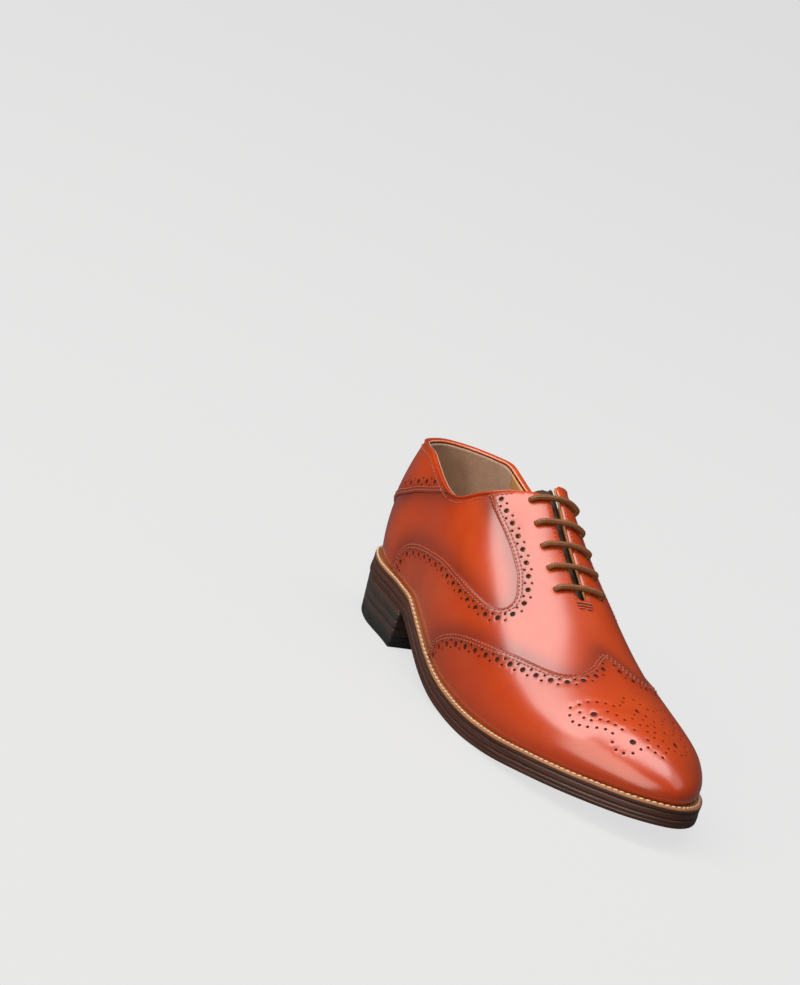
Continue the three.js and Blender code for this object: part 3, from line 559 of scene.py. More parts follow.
def grain_in(tree, size, mottle_size):
    return node(tree, "ShaderNodeGroup", {"node_tree": grain_group},
                {"Vector": object_place(tree), "Size": size, "Mottle Size": mottle_size}).outputs


def bump(tree, shader, height, strength, distance):
    made = node(tree, "ShaderNodeBump", {}, {"Height": height, "Strength": strength, "Distance": distance})
    feed(tree, shader.inputs["Normal"], made.outputs["Normal"])


def dress(tree, shader, **values):
    """Feed a shader's inputs; an underscore stands for the space in an input's name."""
    for key, value in values.items():
        feed(tree, shader.inputs[key.replace("_", " ")], value)


def two_tones(tree, factor, light, dark, worn=None, amount=0.0):
    """Two tones by a factor, and some of the dark one again where worn is high."""
    colour = blend_colours(tree, factor, (*dark, 1), (*light, 1))
    if worn is None:
        return colour
    return blend_colours(tree, fit_range(tree, worn, 0, 1, 0, amount), colour, (*dark, 1))


# %% [markdown]
# ## Materials
# Burnished calf is dyed a bright cognac, then waxed and brushed, so the colour pools darker and
# redder where brushes rub less: along seams, folds and the feather line. A stain attribute on
# the panels carries those places, because the pattern follows the seams. A clear coat over a
# slightly rougher base gives the deep shine of polish over leather.

# %% Leathers


def calf_look():
    material, tree, shader = new_material("burnished_calf")
    grain = grain_in(tree, 1500, 38)
    stain = node(tree, "ShaderNodeAttribute", {"attribute_name": "stain"}).outputs["Fac"]
    colour = two_tones(tree, grain["Mottle"], (0.69, 0.082, 0.006), (0.58, 0.050, 0.003))
    clouds = fit_range(tree, grain["Cloud"], 0, 1, 0, 0.5)
    colour = blend_colours(tree, clouds, colour, (0.46, 0.032, 0.002, 1))
    stained = math_node(tree, "MULTIPLY", stain, fit_range(tree, grain["Mottle"], 0, 1, 0.6, 1.0))
    colour = blend_colours(tree, stained, colour, (0.20, 0.020, 0.007, 1))
    dress(tree, shader, Base_Color=colour, Roughness=fit_range(tree, grain["Mottle"], 0, 1, 0.3, 0.4),
          Coat_Weight=1.0, Coat_IOR=1.85, Specular_IOR_Level=0.1, Coat_Roughness=0.25)
    bump(tree, shader, grain["Height"], 0.10, 0.0002)
    return material


def plain_leather(name, light, dark, roughness, size=700, mottle=60, strength=0.25, coat=0.0):
    """Undressed or waxed leather: two tones mottled together, with a grain."""
    material, tree, shader = new_material(name)
    grain = grain_in(tree, size, mottle)
    dress(tree, shader, Base_Color=two_tones(tree, grain["Mottle"], light, dark, grain["Cloud"], 0.4),
          Roughness=fit_range(tree, grain["Mottle"], 0, 1, roughness, roughness + 0.12), Coat_Weight=coat)
    bump(tree, shader, grain["Height"], strength, 0.0003)
    return material


def edge_leather(name, light, dark, roughness, layers):
    """Sole edge: stacked fibres seen end on, as thin uneven bands at even heights."""
    material, tree, shader = new_material(name)
    bands = node(tree, "ShaderNodeMapping", {}, {"Vector": object_place(tree), "Scale": (6, 6, layers)})
    fibres = node(tree, "ShaderNodeTexNoise", {}, {"Vector": bands.outputs["Vector"], "Scale": 1.0,
                                                   "Detail": 4.0, "Roughness": 0.7}).outputs["Fac"]
    grain = grain_in(tree, 900, 80)
    colour = two_tones(tree, fit_range(tree, fibres, 0.35, 0.65), light, dark, grain["Mottle"], 0.35)
    dress(tree, shader, Base_Color=colour, Coat_Weight=0.15, Coat_Roughness=0.3,
          Roughness=fit_range(tree, grain["Mottle"], 0, 1, roughness, roughness + 0.15))
    bump(tree, shader, math_node(tree, "ADD", fibres, grain["Height"]), 0.3, 0.0003)
    return material


def thread_look(name, light, dark):
    """Waxed thread: two twisted strands, darker where wax collects."""
    material, tree, shader = new_material(name)
    twist = node(tree, "ShaderNodeTexWave", {"bands_direction": "DIAGONAL"},
                 {"Vector": object_place(tree), "Scale": 900.0, "Distortion": 2.0}).outputs["Fac"]
    grain = grain_in(tree, 1500, 200)
    dress(tree, shader, Base_Color=two_tones(tree, twist, light, dark, grain["Mottle"], 0.5), Roughness=0.55)
    bump(tree, shader, twist, 0.3, 0.0002)
    return material


def braid_look(name, light, dark):
    """Round braid: two families of strands cross along the piece's own UV map."""
    material, tree, shader = new_material(name)
    uv = tree.nodes.new("ShaderNodeUVMap").outputs["UV"]
    parts = node(tree, "ShaderNodeSeparateXYZ", {}, {"Vector": uv})
    lengthwise = math_node(tree, "MULTIPLY", parts.outputs["X"], 0.45)
    phases = [math_node(tree, "MULTIPLY_ADD", parts.outputs["Y"], 4.0 * way, lengthwise) for way in (1, -1)]
    strands = [math_node(tree, "SINE", math_node(tree, "MULTIPLY", phase, 2 * math.pi)) for phase in phases]
    weave = fit_range(tree, math_node(tree, "MULTIPLY", *strands), -1, 1)
    grain = grain_in(tree, 1200, 150)
    dress(tree, shader, Base_Color=two_tones(tree, weave, light, dark, grain["Mottle"], 0.45), Roughness=0.5)
    bump(tree, shader, weave, 0.8, 0.0004)
    return material


def suede_look():
    material, tree, shader = new_material("heel_suede")
    grain = grain_in(tree, 1400, 50)
    dress(tree, shader, Base_Color=two_tones(tree, grain["Mottle"], (0.56, 0.37, 0.26), (0.38, 0.23, 0.155)),
          Roughness=0.95, Sheen_Weight=0.15, Sheen_Roughness=0.5)
    bump(tree, shader, grain["Height"], 0.6, 0.0005)
    return material


def steel_look():
    material, tree, shader = new_material("spring_steel")
    grain = grain_in(tree, 600, 90)
    dress(tree, shader, Base_Color=two_tones(tree, grain["Mottle"], (0.6, 0.6, 0.62), (0.38, 0.38, 0.4)),
          Metallic=1.0, Roughness=fit_range(tree, grain["Mottle"], 0, 1, 0.25, 0.45))
    return material


LOOKS = {
    "calf": calf_look(),
    "lining": plain_leather("lining_leather", (0.66, 0.36, 0.15), (0.50, 0.24, 0.08), 0.6),
    "suede": suede_look(),
    "sole_leather": edge_leather("sole_edge", (0.110, 0.040, 0.026), (0.040, 0.016, 0.012), 0.32, 1400),
    "welt": plain_leather("welt_leather", (0.48, 0.20, 0.075), (0.28, 0.10, 0.035), 0.5),
    "insole": plain_leather("insole_leather", (0.55, 0.38, 0.2), (0.42, 0.27, 0.13), 0.7),
    "cork": plain_leather("cork", (0.30, 0.18, 0.08), (0.12, 0.06, 0.03), 0.9, 260, 300, 0.7),
    "steel": steel_look(),
    "heel_stack": edge_leather("heel_stack", (0.085, 0.055, 0.048), (0.032, 0.021, 0.019), 0.34, 1100),
    "rubber": plain_leather("heel_rubber", (0.03, 0.03, 0.032), (0.014, 0.014, 0.015), 0.6, 900, 80, 0.4),
    "cord": braid_look("lace_braid", (0.46, 0.19, 0.070), (0.15, 0.050, 0.018)),
    "thread": thread_look("seam_thread", (0.60, 0.20, 0.12), (0.30, 0.060, 0.035)),
    "stiffener": plain_leather("stiffener_board", (0.55, 0.44, 0.28), (0.4, 0.3, 0.18), 0.8),
}
cream_thread = thread_look("welt_thread", (0.86, 0.70, 0.50), (0.60, 0.40, 0.22))
rand_look = plain_leather("heel_rand", (0.20, 0.075, 0.03), (0.10, 0.035, 0.015), 0.5)
# near-black tongue leather, as painted shade for the tongue seen down the slit between the facings
shaded_tongue_look = plain_leather("tongue_leather", (0.075, 0.028, 0.016), (0.035, 0.014, 0.009), 0.6)
# near-black leather, as painted shade for what is seen only down the punched holes
hole_shade_leather = plain_leather("painted_hole_shade", (0.050, 0.010, 0.006), (0.020, 0.005, 0.004), 0.7)
cut_edge = plain_leather("cut_edge", (0.82, 0.62, 0.42), (0.60, 0.38, 0.22), 0.7)
aglet_look = plain_leather("aglet_sleeve", (0.10, 0.04, 0.02), (0.05, 0.02, 0.01), 0.25, coat=0.5)
print("materials:", len(bpy.data.materials), "groups:", len(bpy.data.node_groups))

# %% Finishing a piece
def finish_piece(bm, name, slot, nodes=(), look=None, body="shoe", more_looks=()):
    """Turn a bmesh in millimetres into a piece that rides on a body."""
    for vertex in bm.verts:
        vertex.co = Vector(to_frame(vertex.co))
    data = bpy.data.meshes.new(name)
    bm.to_mesh(data)
    bm.free()
    for face in data.polygons:
        face.use_smooth = True
    data.materials.append(look or LOOKS[slot])
    for extra in more_looks:
        data.materials.append(extra)
    piece = bpy.data.objects.new(name, data)
    bpy.context.scene.collection.objects.link(piece)
    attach(piece, body)
    if nodes:
        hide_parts(*nodes)
    print(name, len(data.vertices), "vertices", len(data.polygons), "faces")
    return piece

# %% [markdown]
# ## Seams
# The seams divide the upper: a wing-shaped toe cap, a vamp that also carries the facings and
# sweeps back low along both sides, two quarters under it, and a backstay over the heel. They
# are drawn as a maker marks them: heights on the side walls, and offsets from the ridge on top.

# %% Seam lines
TOPLINE = [[-6, 100], [8, 99.5], [24, 100.5], [36, 101.2], [46, 98.6], [58, 95.3], [70, 93.4],
           [80, 93.2], [88, 95], [94, 98.2], [99, 102], [104, 105.4], [110, 109.4], [116, 113.6],
           [121, 118], [126, 124]]
WING_LINE = [[128.5, 24.5], [132, 30.5], [139, 36], [146, 39.9], [154, 42.9], [165, 45.6],
             [180, 48], [195, 50.3], [207, "y", 35.2], [213, "y", 32], [218.5, "y", 27.5],
             [221, "y", 21.5], [218.6, "y", 13.5], [212.6, "y", 7], [206.5, "y", 0.4]]
UNDER_CAP = [[140, 27], [150, 32.5], [165, 36.5], [185, 39.5], [204, "y", 42], [216, "y", 39],
             [226, "y", 31], [230, "y", 21], [230, "y", 11], [229, "y", 0.4]]
QUARTER_LINE = [[104.3, 105.6], [113, 101.6], [122, 98], [131, 94], [140, 89.4], [147, 85.4],
                [154, 81.2], [160, 76.6], [164.6, 72.6], [167, 69], [166.6, 65.8], [163, 63.6],
                [156, 62.9], [146, 63.4], [134, 64.8], [120, 66], [105, 66.2], [90, 64.2],
                [76, 61.4], [64, 57.8], [55, 53.2], [50, 47.6], [48, 41.4], [47.2, 35.4]]
BACKSTAY_LINE = [[78, 93.4], [68, 89.4], [56, 84.4], [44, 79.6], [34, 74.4]]
BACKSTAY_STRIP = [[120, 67.5], [142, 60.5], [151, 53], [156, 45], [159, 38], [160, 33]]
WING_FOOT, UNDER_CAP_FOOT, QUARTER_FOOT = 125.5, 134, 47.2
THROAT_END, THROAT_HALF_WIDTH = 175, 3.1
EYELET_X = [121.5, 133.5, 145.5, 157.5, 169.5]
EYELET_SIDE, LACE_HOLE = 14.4, 1.95
COLLAR_BACK, COLLAR_FORE = 78, 104.3
SIDES = (-1, 1)
topline_z = profile(TOPLINE)
# the inner facing stands a little higher at the throat than the outer one
tab_rise = profile([[93, 0], [100, 2.5], [109, 8]])


def collar_z(g, x):
    inner_side = (np.mod(g, 4) > 2) & (np.mod(g, 4) < 3)
    return topline_z(x) + np.where(inner_side, tab_rise(x), 0)


def collar_v(g):
    """How far up the wall the collar edge is."""
    def above(v):
        p = last(g, v)
        return p[..., 2] - collar_z(g, p[..., 0])
    return halve(above, np.full(np.shape(g), 0.2), np.ones(np.shape(g)))


def seam(points, side):
    """Seam points on one side as [g, v]."""
    made = []
    for p in points:
        g = g_at(side, p[0])
        made.append([g, v_at_side(g, p[2]) if p[1] == "y" else v_at_height(g, p[1])])
    return np.array(made)


def flat_line(pattern, pairs, per_span=6):
    return smooth_line(pattern.flat(pairs[:, 0], pairs[:, 1]), per_span)


def feather_line(pattern, g_from, g_to, count):
    return pattern.flat(np.linspace(g_from, g_to, count), np.zeros(count))


def collar_line(pattern, gs):
    return pattern.flat(np.array(gs), collar_v(np.array(gs)))


def strip_pairs(side):
    turns = [(degrees - 90) / 180 for degrees, _ in BACKSTAY_STRIP]
    gs = [4 - t if side < 0 else 3 + t for t in turns]
    pairs = [[g, v_at_height(g, z)] for g, (_, z) in zip(gs, BACKSTAY_STRIP)]
    return np.array(pairs + [[gs[-1], 0.0]])


def loop_of(*lines):
    """Join lines end to end into one counter-clockwise outline."""
    points = np.concatenate(lines)
    keep = np.linalg.norm(points - np.roll(points, 1, 0), axis=1) > 0.05
    points = points[keep]
    x, y = points[:, 0], points[:, 1]
    area = np.sum(x * np.roll(y, -1) - y * np.roll(x, -1))
    return points if area > 0 else points[::-1]


def throat_gap(side, x):
    g = side_g(side, x)
    return collar_z(g, x) - last(g, v_at_side(g, THROAT_HALF_WIDTH))[2]


throat_top = {side: float(halve(lambda x: throat_gap(side, x), 102, 125)) for side in SIDES}
wing, under_cap, quarter_fore, quarter_heel, backstay_edge = {}, {}, {}, {}, {}
for side in SIDES:
    foot = [[g_at(side, WING_FOOT), 0.0]]
    wing[side] = flat_line(ForePattern, np.concatenate([foot, seam(WING_LINE, side)]))
    foot = [[g_at(side, UNDER_CAP_FOOT), 0.0]]
    under_cap[side] = flat_line(ForePattern, np.concatenate([foot, seam(UNDER_CAP, side)]))
    pairs = np.concatenate([seam(QUARTER_LINE, side), [[g_at(side, QUARTER_FOOT), 0.0]]])
    quarter_fore[side] = flat_line(ForePattern, pairs)
    quarter_heel[side] = flat_line(HeelPattern, pairs)
    pairs = np.concatenate([seam(BACKSTAY_LINE, side), strip_pairs(side)])
    backstay_edge[side] = flat_line(HeelPattern, pairs)
print("throat opens at x =", throat_top)

# %% [markdown]
# ## Punched and skived panels
# A brogue panel is a flat piece of calf with a skived edge and real holes. The outline and
# every hole are drawn on the flat pattern, the leather between them is filled with even
# triangles, and the piece is then laid on the last and given its thickness. A plain operator
# can't fill a sheet round hundreds of holes, so Blender's own constrained triangulation does
# that one step and extrude does the rest.

# %% Cutting a panel
RIM_PITCH, FILL_PITCH = 1.7, 2.4
SKIVE, HOLE_SINK, CLEAR_OF_HOLE = 0.32, 0.1, 2.3
ROW_RISE = FILL_PITCH * 0.866
RIM_RING, HOLE_RING, CLEAR_OF_LOOP, CLEAR_OF_EDGE = 0.65, 0.5, 1.15, 0.3
SMALL_PUNCH, SHARP_EDGE, HIDDEN_FROM = 1, 0.9, 1.5
# how dark the stain is and how many millimetres it spreads: beside a seam, wider, and at the foot
STAINS = ((0.62, 6.5), (0.26, 15), (0.5, 5))


def inside(points, outline):
    x, y = points[:, :1], points[:, 1:]
    a, b = outline, np.roll(outline, -1, 0)
    straddles = (a[:, 1] > y) != (b[:, 1] > y)
    run = np.where(a[:, 1] == b[:, 1], 1, b[:, 1] - a[:, 1])
    return (straddles & (x < (b[:, 0] - a[:, 0]) * (y - a[:, 1]) / run + a[:, 0])).sum(1) % 2 == 1


def circle_on(pattern, centre, radius, wider=0.0):
    """A punched circle on the pattern that is round on the last, drawn wider by a margin."""
    sides = 12 if radius > SMALL_PUNCH else 8
    turns = np.arange(sides) * 2 * math.pi / sides
    centres = np.repeat(np.array([centre], float), sides, 0)
    a, _, n = stretch(pattern, centres)
    a = unit(a)
    move = (a * np.cos(turns)[:, None] + np.cross(n, a) * np.sin(turns)[:, None]) * (radius + wider)
    return centres + pattern_step(pattern, centres, move)


def tree_of(points):
    tree = KDTree(len(points))
    for i, p in enumerate(points):
        tree.insert((*p, 0.0)[:3] if len(p) == 2 else p, i)
    tree.balance()
    return tree


def cut_panel(name, nodes, pattern, outline, holes, top, thickness, stains, shown=None):
    """A leather panel: holes are [place on the pattern, radius]."""
    rim = evenly(pattern, outline, RIM_PITCH, closed=True)
    loops = [rim] + [circle_on(pattern, *hole) for hole in holes]
    rings = [beside(pattern, rim, RIM_RING, closed=True)]
    rings += [circle_on(pattern, *hole, HOLE_RING) for hole in holes]
    near = tree_of(np.concatenate(loops + rings))
    punched = tree_of([place for place, _ in holes])
    low, high = rim.min(0), rim.max(0)
    fill = []
    for row in range(int((high[1] - low[1]) / ROW_RISE) + 1):
        y = low[1] + row * ROW_RISE
        for x in np.arange(low[0] + (row % 2) * FILL_PITCH / 2, high[0], FILL_PITCH):
            at = (x, y, 0)
            if near.find(at)[2] > CLEAR_OF_LOOP and (not holes or punched.find(at)[2] > CLEAR_OF_HOLE):
                fill.append([x, y])
    fill = np.array(fill)
    free = np.concatenate([fill[inside(fill, rim)], *rings])
    free = free[inside(free, rim)]
    edge_tree = tree_of(np.concatenate(loops))
    free = free[np.array([edge_tree.find((*p, 0))[2] > CLEAR_OF_EDGE for p in free])]
    points = np.concatenate(loops + [free])
    owner = np.concatenate([np.full(len(loop), i) for i, loop in enumerate(loops)] + [np.full(len(free), -1)])
    edges, start = [], 0
    for loop in loops:
        edges += [(start + i, start + (i + 1) % len(loop)) for i in range(len(loop))]
        start += len(loop)
    verts, _, faces, origin, _, _ = delaunay_2d_cdt([Vector(p) for p in points], edges, [], 0, 1e-5)
    flat = np.array([list(v) for v in verts])
    owners = np.array([owner[o[0]] if o else -1 for o in origin])
    faces = np.array([f for f in faces if len(f) == 3])
    centres = flat[faces].mean(1)
    own = owners[faces]
    in_hole = (own[:, 0] > 0) & (own[:, 0] == own[:, 1]) & (own[:, 0] == own[:, 2])
    kept = inside(centres, rim) & ~in_hole
    faces, centres = faces[kept], centres[kept]

    drop = np.select([owners == 0, owners > 0], [SKIVE, HOLE_SINK], 0.0)
    ring_tree = tree_of(np.concatenate(rings))
    soft = np.array([ring_tree.find((*p, 0))[2] < 1e-4 for p in flat])
    drop = np.where(soft & (owners < 0), HOLE_SINK * 0.15, drop)
    upper, lower = on_last(pattern, flat, top - drop), on_last(pattern, flat, top - thickness)
    bm = bmesh.new()
    source = bm.verts.layers.int.new("source")
    stain_layer = bm.verts.layers.float.new("stain")
    stain_tree = tree_of(np.concatenate([on_last(pattern, line) for line in stains]))
    climb_up = climb(*pattern.back(flat))
    for i, p in enumerate(upper):
        vertex = bm.verts.new(p)
        vertex[source] = i
        distance = stain_tree.find(p)[2]
        reaches = zip(STAINS, (distance, distance, climb_up[i]))
        stain = sum(dark * math.exp(-(d / spread) ** 2) for (dark, spread), d in reaches)
        vertex[stain_layer] = min(stain, 1)
    bm.verts.ensure_lookup_table()
    hidden = np.zeros(len(faces), bool)
    if shown is not None:
        shown_tree = tree_of(shown)
        far_off = np.array([shown_tree.find((*c, 0))[2] > HIDDEN_FROM for c in centres])
        hidden = ~inside(centres, shown) & far_off
    # faces under the panel above, seen only through its holes, take the near-black second look as painted
    # shade
    for f, dark in zip(faces, hidden):
        face = bm.faces.new([bm.verts[int(i)] for i in f])
        face.material_index = int(dark)
    bmesh.ops.delete(bm, geom=[v for v in bm.verts if not v.link_faces], context="VERTS")
    made = bmesh.ops.extrude_face_region(bm, geom=bm.faces[:])
    for vertex in made["geom"]:
        if isinstance(vertex, bmesh.types.BMVert):
            vertex.co = lower[vertex[source]]
    bmesh.ops.recalc_face_normals(bm, faces=bm.faces)
    for edge in bm.edges:
        if len(edge.link_faces) == 2 and edge.calc_face_angle(0) > SHARP_EDGE:
            edge.smooth = False
    bm.verts.layers.int.remove(source)
    return finish_piece(bm, name, "calf", nodes, more_looks=[hole_shade_leather])


# %% [markdown]
# ## Broguing
# Two punches make the pattern: a large hole, and between each two large ones a pair of small
# holes across the row. They run a finger's width inside each seam. The rows are set out with
# dividers, so they are spaced as measured on the last.

# %% Rows of holes
ROW_INSET, BIG_PITCH, BIG_HOLE, SMALL_HOLE, PAIR_SPREAD = 5.9, 8.6, 1.5, 0.78, 1.85
# where rows stop: before the wing's peak, the collar, the feather line, and low on the backstay
PEAK_GAP, COLLAR_GAP, FOOT_GAP, BACKSTAY_ROW_LOW = 3.4, 5.0, 4.5, 42


def brogue_row(pattern, line):
    places = evenly(pattern, line, BIG_PITCH / 2)
    spread = [beside(pattern, places, way * PAIR_SPREAD) for way in (-1, 1)]
    holes = []
    for i, place in enumerate(places):
        if i % 2 == 0:
            holes.append([place, BIG_HOLE])
        else:
            holes += [[spread[0][i], SMALL_HOLE], [spread[1][i], SMALL_HOLE]]
    return holes


def both_rows(pattern, rows):
    return [hole for side in SIDES for hole in brogue_row(pattern, rows[side])]


def keep_clear(pattern, line, foot_gap):
    """Drop the ends of a line where it nears the collar edge or the feather line."""
    p, (g, v) = on_last(pattern, line), pattern.back(line)
    climb_up = climb(g, v)
    return line[(climb_up > foot_gap) & (topline_z(p[:, 0]) - p[:, 2] > COLLAR_GAP)]


# away from the seam, into the panel that is punched
wing_rows, quarter_rows, backstay_rows = {}, {}, {}
for side in SIDES:
    row = beside(ForePattern, wing[side], side * ROW_INSET)
    row = row[np.abs(row[:, 1] - axis_y(row[:, 0])) > PEAK_GAP]
    wing_rows[side] = row[climb(*ForePattern.back(row)) > FOOT_GAP]
    row = beside(ForePattern, quarter_fore[side], -side * ROW_INSET)
    quarter_rows[side] = keep_clear(ForePattern, row, FOOT_GAP)
    row = beside(HeelPattern, backstay_edge[side], side * ROW_INSET)
    backstay_rows[side] = keep_clear(HeelPattern, row[row[:, 1] > BACKSTAY_ROW_LOW], 4.0)
print("rows:", len(wing_rows[-1]), len(quarter_rows[-1]), len(backstay_rows[-1]))

# %% Toe medallion
# two leaves that mirror each other, in [distance along the shoe, offset from the ridge]
MEDALLION_LARGE = [[251.5, 0], [251, 24.5], [274, 12.8]]
MEDALLION_CHAINS = [
    [[240.8, 32], [246.5, 34], [252, 32.6], [256.8, 29.2], [261, 24.6], [266, 20.6], [271.5, 22],
     [276.5, 19.6], [279.8, 13.5], [278.2, 7], [281.8, 3.2], [284.8, 0]],
    [[241.5, 28], [241.9, 23.6], [243.8, 18.9], [246.3, 14.6], [248.7, 10.9], [245.5, 6.3], [241, 3]],
    [[246.3, 29.6], [251, 29], [254.8, 25.9], [256.1, 22.2], [260.2, 19], [265.5, 15.5]],
    [[251.7, 17.6], [254.8, 14.6], [259.5, 11.6], [258.5, 6.6], [254.8, 3.6]],
    [[263.4, 4.4], [266.9, 9.2]],
    [[268.4, 2.3], [274.2, 4.6]],
    [[258.5, 0], [263.5, 0]],
    [[272.5, 0], [278, 0]],
]
MEDALLION_PITCH, MEDALLION_SMALL, MEDALLION_BIG = 4.5, 0.85, 1.75
ON_RIDGE = 0.2


def medallion_place(x, offset):
    toe = max(x - TOE_PIVOT, 0)
    g = 1.5 + math.atan2(offset, toe) / math.pi if x > TOE_PIVOT else g_at(offset, x)
    if abs(offset) < ON_RIDGE:
        g = 1.5 if x > TOE_PIVOT else g_at(1, x)
    target = math.hypot(toe, offset)

    def short(v):
        p = last(g, v)
        return target - math.hypot(p[0] - min(x, TOE_PIVOT), p[1] - float(axis_y(x)))
    return ForePattern.flat(g, 1.0 if target < ON_RIDGE else halve(short, 0.3, 1.0))


medallion = []
for side in SIDES:
    for x, offset in MEDALLION_LARGE:
        if offset or side > 0:
            medallion.append([medallion_place(x, side * offset), MEDALLION_BIG])
    for chain in MEDALLION_CHAINS:
        on_ridge = all(offset == 0 for _, offset in chain)
        if on_ridge and side < 0:
            continue
        line = smooth_line(chain, 10)
        run = run_of(line)
        count = max(round(run[-1] / MEDALLION_PITCH), 1)
        for x, offset in at_runs(line, run, np.linspace(0, run[-1], count + 1)):
            if offset > 0.5 or side > 0:
                medallion.append([medallion_place(x, side * offset), MEDALLION_SMALL])
print("medallion holes:", len(medallion))

# %% The wing cap
CAP_TOP, VAMP_TOP, QUARTER_TOP, CALF, QUARTER_CALF = 0.9, 0.0, -0.9, 0.84, 0.78

g_foot = [g_at(s, WING_FOOT) for s in (-1, 1)]
cap_outline = loop_of(wing[-1], wing[1][::-1], feather_line(ForePattern, g_foot[1], g_foot[0], 160))
cap_holes = both_rows(ForePattern, wing_rows) + medallion
cut_panel("wing_cap_leather", ["wing_cap"], ForePattern, cap_outline, cap_holes, CAP_TOP, CALF,
          [wing[-1], wing[1]])

# %% The vamp with its facings
lace_holes = []
for side in SIDES:
    for x in EYELET_X:
        g = g_at(side, x)
        lace_holes.append([ForePattern.flat(g, v_at_side(g, EYELET_SIDE)), LACE_HOLE])


def facing_edge(side):
    """From the collar seam over the top of the facing and down the slit."""
    top_xs = np.linspace(COLLAR_FORE, throat_top[side] - 2, 8)
    top = collar_line(ForePattern, [g_at(side, x) for x in top_xs])
    slit = []
    for x in np.linspace(throat_top[side] + 2, THROAT_END - THROAT_HALF_WIDTH, 24):
        g = g_at(side, x)
        slit.append(ForePattern.flat(g, v_at_side(g, THROAT_HALF_WIDTH)))
    for turn in np.linspace(15, 90, 5):
        a = math.radians(turn)
        x = THROAT_END - THROAT_HALF_WIDTH * (1 - math.sin(a))
        g = g_at(side, x)
        d = max(THROAT_HALF_WIDTH * math.cos(a), 0.02)
        slit.append(ForePattern.flat(g, v_at_side(g, d)))
    return np.concatenate([top, np.array(slit)])


facing = {side: facing_edge(side) for side in SIDES}


def vamp_loop(front, foot_x):
    """The vamp's outline behind a front edge that meets the feather line at foot_x."""
    outer, inner = ([g_at(side, x) for x in (QUARTER_FOOT, foot_x)] for side in SIDES)
    return loop_of(front[-1], front[1][::-1], feather_line(ForePattern, *inner[::-1], 60),
                   quarter_fore[1][::-1], facing[1], facing[-1][::-1], quarter_fore[-1],
                   feather_line(ForePattern, *outer, 60))


vamp_holes = both_rows(ForePattern, quarter_rows) + lace_holes
cut_panel("vamp_leather", ["vamp"], ForePattern, vamp_loop(under_cap, UNDER_CAP_FOOT), vamp_holes,
          VAMP_TOP, CALF, [wing[-1], wing[1], quarter_fore[-1], quarter_fore[1]],
          shown=vamp_loop(wing, WING_FOOT))

# %% The quarters
UNDERLAP = 8.0
STRIP_FOOT = 70 / 180


def below_collar(line):
    p = on_last(HeelPattern, line)
    return line[topline_z(p[:, 0]) - p[:, 2] > 0.8]


for side, name in ((-1, "quarter_lateral"), (1, "quarter_medial")):
    fore = below_collar(beside(HeelPattern, quarter_heel[side], -side * UNDERLAP * 0.8))
    rear = below_collar(beside(HeelPattern, backstay_edge[side], side * UNDERLAP))
    g_rear, g_fore = (HeelPattern.back(line[:1])[0][0] for line in (rear, fore))
    g_rear = g_rear - 4 if side < 0 and g_rear > 3 else g_rear
    top = collar_line(HeelPattern, np.linspace(g_rear, g_fore, 40))
    g_low_fore, g_low_rear = (HeelPattern.back(line[-1:])[0][0] for line in (fore, rear))
    g_low_rear = g_low_rear - 4 if side < 0 else g_low_rear
    foot = feather_line(HeelPattern, g_low_fore, g_low_rear, 50)
    outline = loop_of(top, fore, foot, rear[::-1])
    g_a, g_b = g_at(side, COLLAR_BACK), g_at(side, COLLAR_FORE)
    low_a = -STRIP_FOOT if side < 0 else 3 + STRIP_FOOT
    shown = loop_of(collar_line(HeelPattern, np.linspace(g_a, g_b, 20)), quarter_heel[side],
                    feather_line(HeelPattern, g_at(side, QUARTER_FOOT), low_a, 40),
                    backstay_edge[side][::-1])
    cut_panel(f"{name}_leather", [name], HeelPattern, outline, [], QUARTER_TOP, QUARTER_CALF,
              [quarter_heel[side], backstay_edge[side]], shown=shown)

# %% The backstay
collar_gs = np.concatenate([np.linspace(g_at(-1, COLLAR_BACK), 0, 20), np.linspace(4, 3, 50)[1:],
                            np.linspace(3, g_at(1, COLLAR_BACK), 20)[1:]])
backstay_outline = loop_of(backstay_edge[-1], feather_line(HeelPattern, 4 - STRIP_FOOT, 3 + STRIP_FOOT, 30),
                           backstay_edge[1][::-1], collar_line(HeelPattern, collar_gs)[::-1])
cut_panel("backstay_leather", ["backstay"], HeelPattern, backstay_outline,
          both_rows(HeelPattern, backstay_rows), VAMP_TOP, CALF, [backstay_edge[-1], backstay_edge[1]])

# %% [markdown]
# ## Stitching
# Each seam is closed by a double row of fine stitches beside its edge, and a single row runs
# under the collar and down the facings. A stitch is a short swelling of thread that dives into
# the leather at both ends, so a flattened sphere is close to its shape. There are several
# hundred of them, so each has only a few faces.

# %% Stitch rows
STITCH, STITCH_PITCH, THREAD_RADIUS, STITCH_PROUD = 1.9, 2.5, 0.48, 0.75
ROW_INSETS, FACING_INSET, COLLAR_INSET = (1.1, 2.9), 2.3, 3.3

ball = bmesh.new()
lengthwise = Matrix.Rotation(math.pi / 2, 4, "Y")
bmesh.ops.create_uvsphere(ball, u_segments=6, v_segments=4, radius=1, matrix=lengthwise)
stitch_shape = bpy.data.meshes.new("stitch")
ball.to_mesh(stitch_shape)
ball.free()


def add_stitches(bm, points, normals, tangents, length, radius):
    for p, n, t in zip(points, normals, tangents):
        across = np.cross(n, t)
        size = Matrix((t * length / 2, across * radius, n * radius * STITCH_PROUD)).transposed().to_4x4()
        one = stitch_shape.copy()
        one.transform(Matrix.Translation(p) @ size)
        bm.from_mesh(one)
        bpy.data.meshes.remove(one)


def sew(bm, pattern, line, top, start=1.2):
    places = evenly(pattern, line, STITCH_PITCH, start=start)
    g, _ = pattern.back(places)
    p = on_last(pattern, places)
    places = places[collar_z(g, p[:, 0]) - p[:, 2] > 1.6]
    points = on_last(pattern, places, top + THREAD_RADIUS * 0.25)
    add_stitches(bm, points, stretch(pattern, places)[2], tangents_of(points), STITCH, THREAD_RADIUS)


